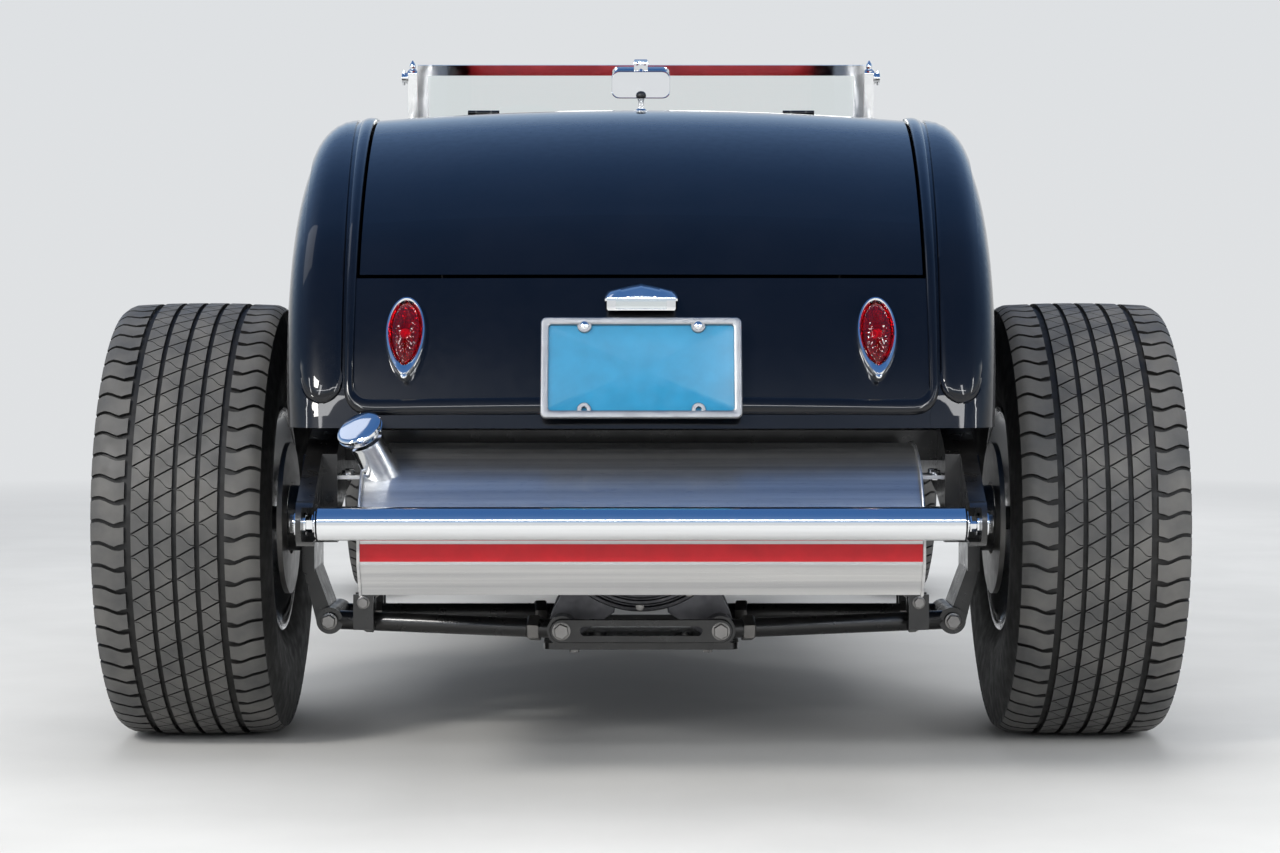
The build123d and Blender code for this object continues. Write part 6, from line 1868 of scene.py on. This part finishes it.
def make_headlamps():
    """Bowl lamps with dished reflectors, bulbs, fluted lenses, rims and stands."""
    bowls, lenses, bulbs = Form(), Form(), Form()
    for side in (-1, 1):
        x, ahead, z = side * HEADLAMP[0], HEADLAMP[1], HEADLAMP[2]
        middle = at(x, ahead, z)
        way = (0, 1, 0)
        profile = [
            (-80, 0), (-79, 12), (-76, 24), (-66, 42), (-52, 57), (-30, 71), (-5, 81), (25, 87),
            (50, 89.4)
        ]
        profile += [
            (52, 92), (56, 93.5), (64, 93.5), (69, 91), (71, 87), (70.5, 83), (66, 81), (60, 80), (56, 78)
        ]
        profile += [(40, 71), (20, 61), (0, 49), (-15, 38), (-27, 26), (-34, 12), (-36, 0)]
        bowls.lathe(middle, way, profile, 72)
        bowls.lathe(at(x, ahead, z - 84), (0, 0, 1), [(-20, 15), (-14, 19), (-6, 19), (0, 16), (2, 12)], 32)
        rail = 362 - 17 * 140 / 462  # outer face of the tapering frame rail below the lamp
        foot_x = side * (rail - 25)
        stand = [at(foot_x, ahead, 462), at(foot_x, ahead, 560), at(side * 352, ahead, 640)]
        stand += [at(side * 376, ahead, 705), at(side * 388, ahead, 740), at(x, ahead, 768)]
        bowls.tube(smooth_path(stand, 4), 13, 20)
        bowls.lathe(
            at(foot_x, ahead, 446), (0, 0, 1), [(0, 25), (3, 27), (9, 27), (12, 24), (30, 20), (36, 15)],
            36
        )
        bowls.lathe(at(x, ahead + 67, z + 92), (0, 0, 1), [(-4, 4), (4, 4), (7, 2.5)], 16)
        rows = []
        for share, lift in (
            (0.999, 57), (1, 60), (0.97, 63.5), (0.85, 67), (0.7, 70), (0.5, 72.6), (0.25, 74),
            (0.02, 74.5)
        ):
            size = LENS_RADIUS * share
            rows.append([middle + Vector((size * a, lift, size * b)) / 1000 for a, b in circle(72)])
        for share in (0.02, 0.12, 0.25, 0.38, 0.5, 0.62, 0.75, 0.88, 0.96):
            ring = []
            for cosine, sine in circle(72):
                a, b = LENS_RADIUS * share * cosine, LENS_RADIUS * share * sine
                lift = 57 + 12.5 * (1 - share * share) + 0.9 * cos(a * 2 * pi / 13) * (1 - share)
                ring.append(middle + Vector((a, lift, b)) / 1000)
            rows.append(ring)
        lenses.rings(rows, cap=True)
        bulbs.lathe(at(x, ahead - 38, z), way, [(0, 14), (6, 14), (8, 9), (24, 9)], 24)
        ball = [(24 + 11 - 11 * cos(pi * k / 12), 11 * sin(pi * k / 12) + 0.1) for k in range(13)]
        bulbs.lathe(at(x, ahead - 38, z), way, ball, 24)
    made = bowls.piece("headlamp_bowls", "chassis", CHROME, "chrome", smooth=45)
    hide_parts("headlamps")
    lens = lenses.piece("headlamp_glass", "chassis", GLASS, "clear_glass", smooth=40)
    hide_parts("headlamp_lenses")
    bulbs.piece("headlamp_bulbs", "chassis", WHITE, "chrome", smooth=60)


def smooth_path(points, pieces):
    """Curve through the points, with more of them between."""
    path = []
    last = len(points) - 1
    for i in range(last):
        p0, p1, p2, p3 = points[max(i - 1, 0)], points[i], points[i + 1], points[min(i + 2, last)]
        for k in range(pieces):
            t = k / pieces
            path.append(
                (p1 * 2 + (p2 - p0) * t + (p0 * 2 - p1 * 5 + p2 * 4 - p3) * t * t
                 + (p1 * 3 - p0 - p2 * 3 + p3) * t * t * t) / 2
            )
    path.append(points[-1])
    return path


# Front brakes, spring and frame details


CALIPER = (  # out to the side, away from the axle
    (640, 96), (640, 136), (646, 141), (672, 141), (676, 136),
    (676, 96), (664, 92), (664, 132), (650, 132), (650, 92),
)


def make_front_brakes():
    """Disc and caliper of each front wheel, and the caps on its kingpin."""
    for side, word in SIDES:
        disc, caliper = Form(), Form()
        out = (side, 0, 0)
        start = at(side * 652, WHEELBASE, FRONT_RADIUS)
        disc.lathe(
            start, out, [(0, 62), (0, 128), (1, 130), (9, 130), (10, 128), (10, 62)], 72, closed=True
        )
        disc.lathe(start, out, [(8, 66), (20, 62), (24, 58), (24, 40), (8, 40)], 48, closed=True)
        for a, b in circle(10):
            spot = start + Vector((side * 0.022, 0.051 * a, 0.051 * b))
            disc.lathe(spot, out, [(0, 5), (5, 5), (7, 3)], 14)
        disc.piece(f"front_disc_{word}", f"wheel_front_{word}", STEEL, "chrome")
        rows = []
        for k in range(11):
            angle = radians(62 + 56 * k / 10)
            shrink = 0.9 if k in (0, 10) else 1
            ring = []
            for x, r in CALIPER:
                r = 117 + (r - 117) * shrink
                ring.append(at(side * x, WHEELBASE - r * cos(angle), FRONT_RADIUS + r * sin(angle)))
            rows.append(ring)
        caliper.rings(rows)
        caliper.tube(
            [at(side * 634, 2672, 380), at(side * 640, 2680, 420), at(side * 642, 2690, 440)], [11, 9, 8]
        )
        for angle in (75, 105):
            turn = radians(angle)
            caliper.lathe(
                at(side * 641, WHEELBASE - 118 * cos(turn), FRONT_RADIUS + 118 * sin(turn)),
                (-side, 0, 0), [(0, 15), (6, 15), (8, 12)], 28,
            )
        caliper.piece(f"front_caliper_{word}", f"knuckle_{word}", CAST, "chrome")
        caps = Form()
        for low, way in ((FRONT_RADIUS + 53, 1), (FRONT_RADIUS - 53, -1)):
            caps.lathe(
                at(side * KINGPIN_X, WHEELBASE, low), (0, 0, way),
                [(-1, 21), (3, 21), (5, 17), (9, 14), (11, 9), (12, 0)], 32
            )
        caps.hexagon(at(side * KINGPIN_X, 2560, 223), (0, 0, 1), 10, 9)
        caps.piece(f"kingpin_caps_{word}", f"knuckle_{word}", CHROME, "chrome")


SPRING_EYE, SPRING_RISE = 430, 95
LEAF, LEAVES, LEAF_STEP = 8, 5, 62


def make_front_details():
    """Spring clips and clamp bolts, shackle nuts and the bolts at the radius rods' rear ends."""
    steel, chrome = Form(), Form()
    for side in (-1, 1):
        for x in (120, 230, 320):
            sag = SPRING_RISE * (x / SPRING_EYE) ** 2
            top = 424.5 - LEAF * (LEAVES - (SPRING_EYE - x) // LEAF_STEP) - sag
            depth = top - 376 + sag  # down to below the lowest leaf
            steel.box(
                (side * x - 8, side * x + 8), (WHEELBASE - 26, WHEELBASE - 21), (top - depth, top + 3), 1
            )
            steel.box(
                (side * x - 8, side * x + 8), (WHEELBASE + 21, WHEELBASE + 26), (top - depth, top + 3), 1
            )
            steel.box((side * x - 8, side * x + 8), (WHEELBASE - 26, WHEELBASE + 26), (top, top + 4), 1)
            steel.rod(
                at(side * x, WHEELBASE - 27, top - depth + 3),
                at(side * x, WHEELBASE + 27, top - depth + 3), 4
            )
        for ahead, way in ((WHEELBASE - 21, -1), (WHEELBASE + 21, 1)):
            chrome.bolt(at(side * 424, ahead, 296), (0, way, 0), 9)
        for x in (28, 44):
            for u in (WHEELBASE - 26, WHEELBASE + 26):
                steel.rod(at(side * x, u, 366), at(side * x, u, 372 + 60), 5)
                steel.hexagon(at(side * x, u, 360), (0, 0, -1), 9, 8)
        for z in (228, 296):
            chrome.hexagon(
                at(side * SPRING_EYE, WHEELBASE - 23, z) + Vector((0, -0.026, 0)), (0, -1, 0.12), 17, 14
            )
        chrome.bolt(at(side * 468, 1860, 400), (side, 0, 0), 13)
    steel.piece("spring_clips", "chassis", STEEL, "chrome")
    chrome.piece("front_nuts", "chassis", CHROME, "chrome")


make_louvres()
make_grille()
make_radiator_core()
make_headlamps()
make_front_brakes()
make_front_details()


# Materials of the CAD nodes that stay in view

refinish(
    PAINT, "quarter_left", "quarter_right", "tail_panel", "cockpit_rear_panel", "deck_lid", "door_left",
    "door_right", "cowl", "hood_left", "hood_right", "dashboard",
)
refinish(
    SATIN, "frame", "floor_pan", "rear_uprights", "lower_arms", "pivot_plate", "steering_column",
    "front_spring", "drive_shafts", "radiator",
)
refinish(
    CHROME, "hood_hinge", "windshield_frame", "windshield_posts", "grille_shell", "radius_rods",
    "tie_rod", "pitman_arm", "front_axle", "knuckle_left", "knuckle_right",
)
refinish(BRUSHED, "fuel_tank", "exhaust")
refinish(GLASS, "windshield_glass")
refinish(CAST, "gearbox")
refinish(ENAMEL, "engine_block")


# Studio


def area_light(name, place, target, size, watts, color=(1, 1, 1), gloss=True):
    """Rectangular lamp at a place in metres, turned to a target."""
    lamp = bpy.data.lights.new(name, "AREA")
    lamp.shape = "RECTANGLE"
    lamp.size, lamp.size_y = size
    lamp.energy = watts
    lamp.color = color
    made = bpy.data.objects.new(name, lamp)
    made.location = place
    made.rotation_euler = (Vector(target) - Vector(place)).to_track_quat("-Z", "Y").to_euler()
    made.visible_glossy = gloss
    bpy.context.scene.collection.objects.link(made)
    return made


SKY = (0.74, 0.755, 0.77, 1)


def seen_rays(nodes, links):
    """One for rays that show the backdrop: from the camera, off gloss and through glass."""
    path = nodes.new("ShaderNodeLightPath")
    total = path.outputs["Is Camera Ray"]
    for name in ("Is Glossy Ray", "Is Transmission Ray"):
        either = nodes.new("ShaderNodeMath")
        either.operation = "MAXIMUM"
        links.new(total, either.inputs[0])
        links.new(path.outputs[name], either.inputs[1])
        total = either.outputs["Value"]
    return total


FLOOR_REACH = 60  # metres
FADE_START, FADE_END = 2.8, 7.5


def make_floor():
    """Pale floor that keeps the shadow near the car and fades into the sky far out."""
    floor = Form()
    ring = [Vector((FLOOR_REACH * a, FLOOR_REACH * b, 0)) for a, b in circle(64)]
    floor.add(ring, [list(range(64))])
    mesh = bpy.data.meshes.new("floor")
    floor.bm.to_mesh(mesh)
    floor.bm.free()
    made = bpy.data.objects.new("floor", mesh)
    bpy.context.scene.collection.objects.link(made)
    pale = Finish("floor_pale", (0.7, 0.7, 0.69, 1), 0.9)
    pale.blend(pale.span(pale.noise(3, detail=8), 0, 1), (0.68, 0.68, 0.67, 1), (0.73, 0.73, 0.72, 1))
    pale.set("Specular IOR Level", 0.1)
    shaders, links = pale.nodes, pale.links
    distance = shaders.new("ShaderNodeVectorMath")
    distance.operation = "LENGTH"
    links.new(pale.place, distance.inputs[0])
    fade = pale.span(distance.outputs["Value"], 0, 1, FADE_START, FADE_END)
    both = shaders.new("ShaderNodeMath")
    both.operation = "MULTIPLY"
    links.new(fade, both.inputs[0])
    links.new(seen_rays(shaders, links), both.inputs[1])
    glow = shaders.new("ShaderNodeEmission")
    glow.inputs["Color"].default_value = SKY
    mix = shaders.new("ShaderNodeMixShader")
    links.new(both.outputs["Value"], mix.inputs[0])
    links.new(pale.shader.outputs[0], mix.inputs[1])
    links.new(glow.outputs[0], mix.inputs[2])
    links.new(mix.outputs[0], shaders["Material Output"].inputs["Surface"])
    mesh.materials.append(pale.material)


def make_world():
    """Pale at the horizon, deep blue overhead, which the black paint shows."""
    world = bpy.data.worlds.new("studio")
    world.use_nodes = True
    tree = world.node_tree
    place = tree.nodes.new("ShaderNodeTexCoord")
    split = tree.nodes.new("ShaderNodeSeparateXYZ")
    ramp = tree.nodes.new("ShaderNodeValToRGB")
    tree.links.new(place.outputs["Generated"], split.inputs["Vector"])
    tree.links.new(split.outputs["Z"], ramp.inputs["Fac"])
    ramp.color_ramp.elements[0].position = 0.0
    ramp.color_ramp.elements[0].color = SKY
    ramp.color_ramp.elements[1].position = 1.0
    ramp.color_ramp.elements[1].color = (0.05, 0.14, 0.36, 1)
    for position, color in (
        (0.13, (0.73, 0.75, 0.77, 1)), (0.3, (0.41, 0.56, 0.77, 1)), (0.48, (0.16, 0.28, 0.52, 1)),
        (0.8, (0.07, 0.165, 0.39, 1)),
    ):
        ramp.color_ramp.elements.new(position).color = color
    seen = tree.nodes.new("ShaderNodeMix")
    seen.data_type = "RGBA"
    seen.inputs["A"].default_value = (0.33, 0.35, 0.38, 1)
    tree.links.new(seen_rays(tree.nodes, tree.links), seen.inputs["Factor"])
    tree.links.new(ramp.outputs["Color"], seen.inputs["B"])
    background = tree.nodes["Background"]
    background.inputs["Strength"].default_value = 1.0
    tree.links.new(seen.outputs["Result"], background.inputs["Color"])
    bpy.context.scene.world = world


FOCAL_PIXELS = 2676
PHOTO_WIDTH = 1280
LOOK_DOWN = 2.17  # degrees


def make_camera():
    """The photograph's viewing angle, worked out from the plate and the tyres."""
    lens = bpy.data.cameras.new("camera")
    lens.sensor_fit = "HORIZONTAL"
    lens.sensor_width = 36
    lens.lens = FOCAL_PIXELS / PHOTO_WIDTH * lens.sensor_width
    made = bpy.data.objects.new("camera", lens)
    made.location = (-0.002, -5.977, 0.745)
    made.rotation_euler = (radians(90 - LOOK_DOWN), 0, 0)
    bpy.context.scene.collection.objects.link(made)
    bpy.context.scene.camera = made


make_floor()
make_world()
make_camera()
area_light("over", (0, 0.4, 5.0), (0, 0, 0), (5.0, 6.0), 170, gloss=False)
area_light("key", (-3.4, -6.2, 4.4), (0, -0.8, 0.5), (1.2, 1.2), 210, (1, 0.97, 0.92))
area_light("fill", (4.2, -4.6, 2.2), (0, -0.6, 0.6), (2.6, 2.2), 60, gloss=False)
area_light("front", (1.2, 5.5, 3.0), (0, 0.6, 0.6), (3.5, 2.4), 90, gloss=False)
area_light("cloud", (-3.95, 0.5, 5.05), (-0.43, -1.85, 0.58), (2.0, 2.0), 8)
area_light("rear_strip", (0, -7.4, 3.3), (0, -1.6, 0.5), (7.0, 0.35), 90)
for side, _ in SIDES:
    area_light(f"strip_{side + 1}", (side * 5.2, -4.6, 2.4), (0, -0.6, 0.8), (0.3, 3.0), 45)
    area_light(f"tall_{side + 1}", (side * 2.6, -7.2, 2.9), (side * 0.5, -1.6, 0.8), (0.35, 3.6), 40)
bpy.context.scene.view_settings.view_transform = "Standard"
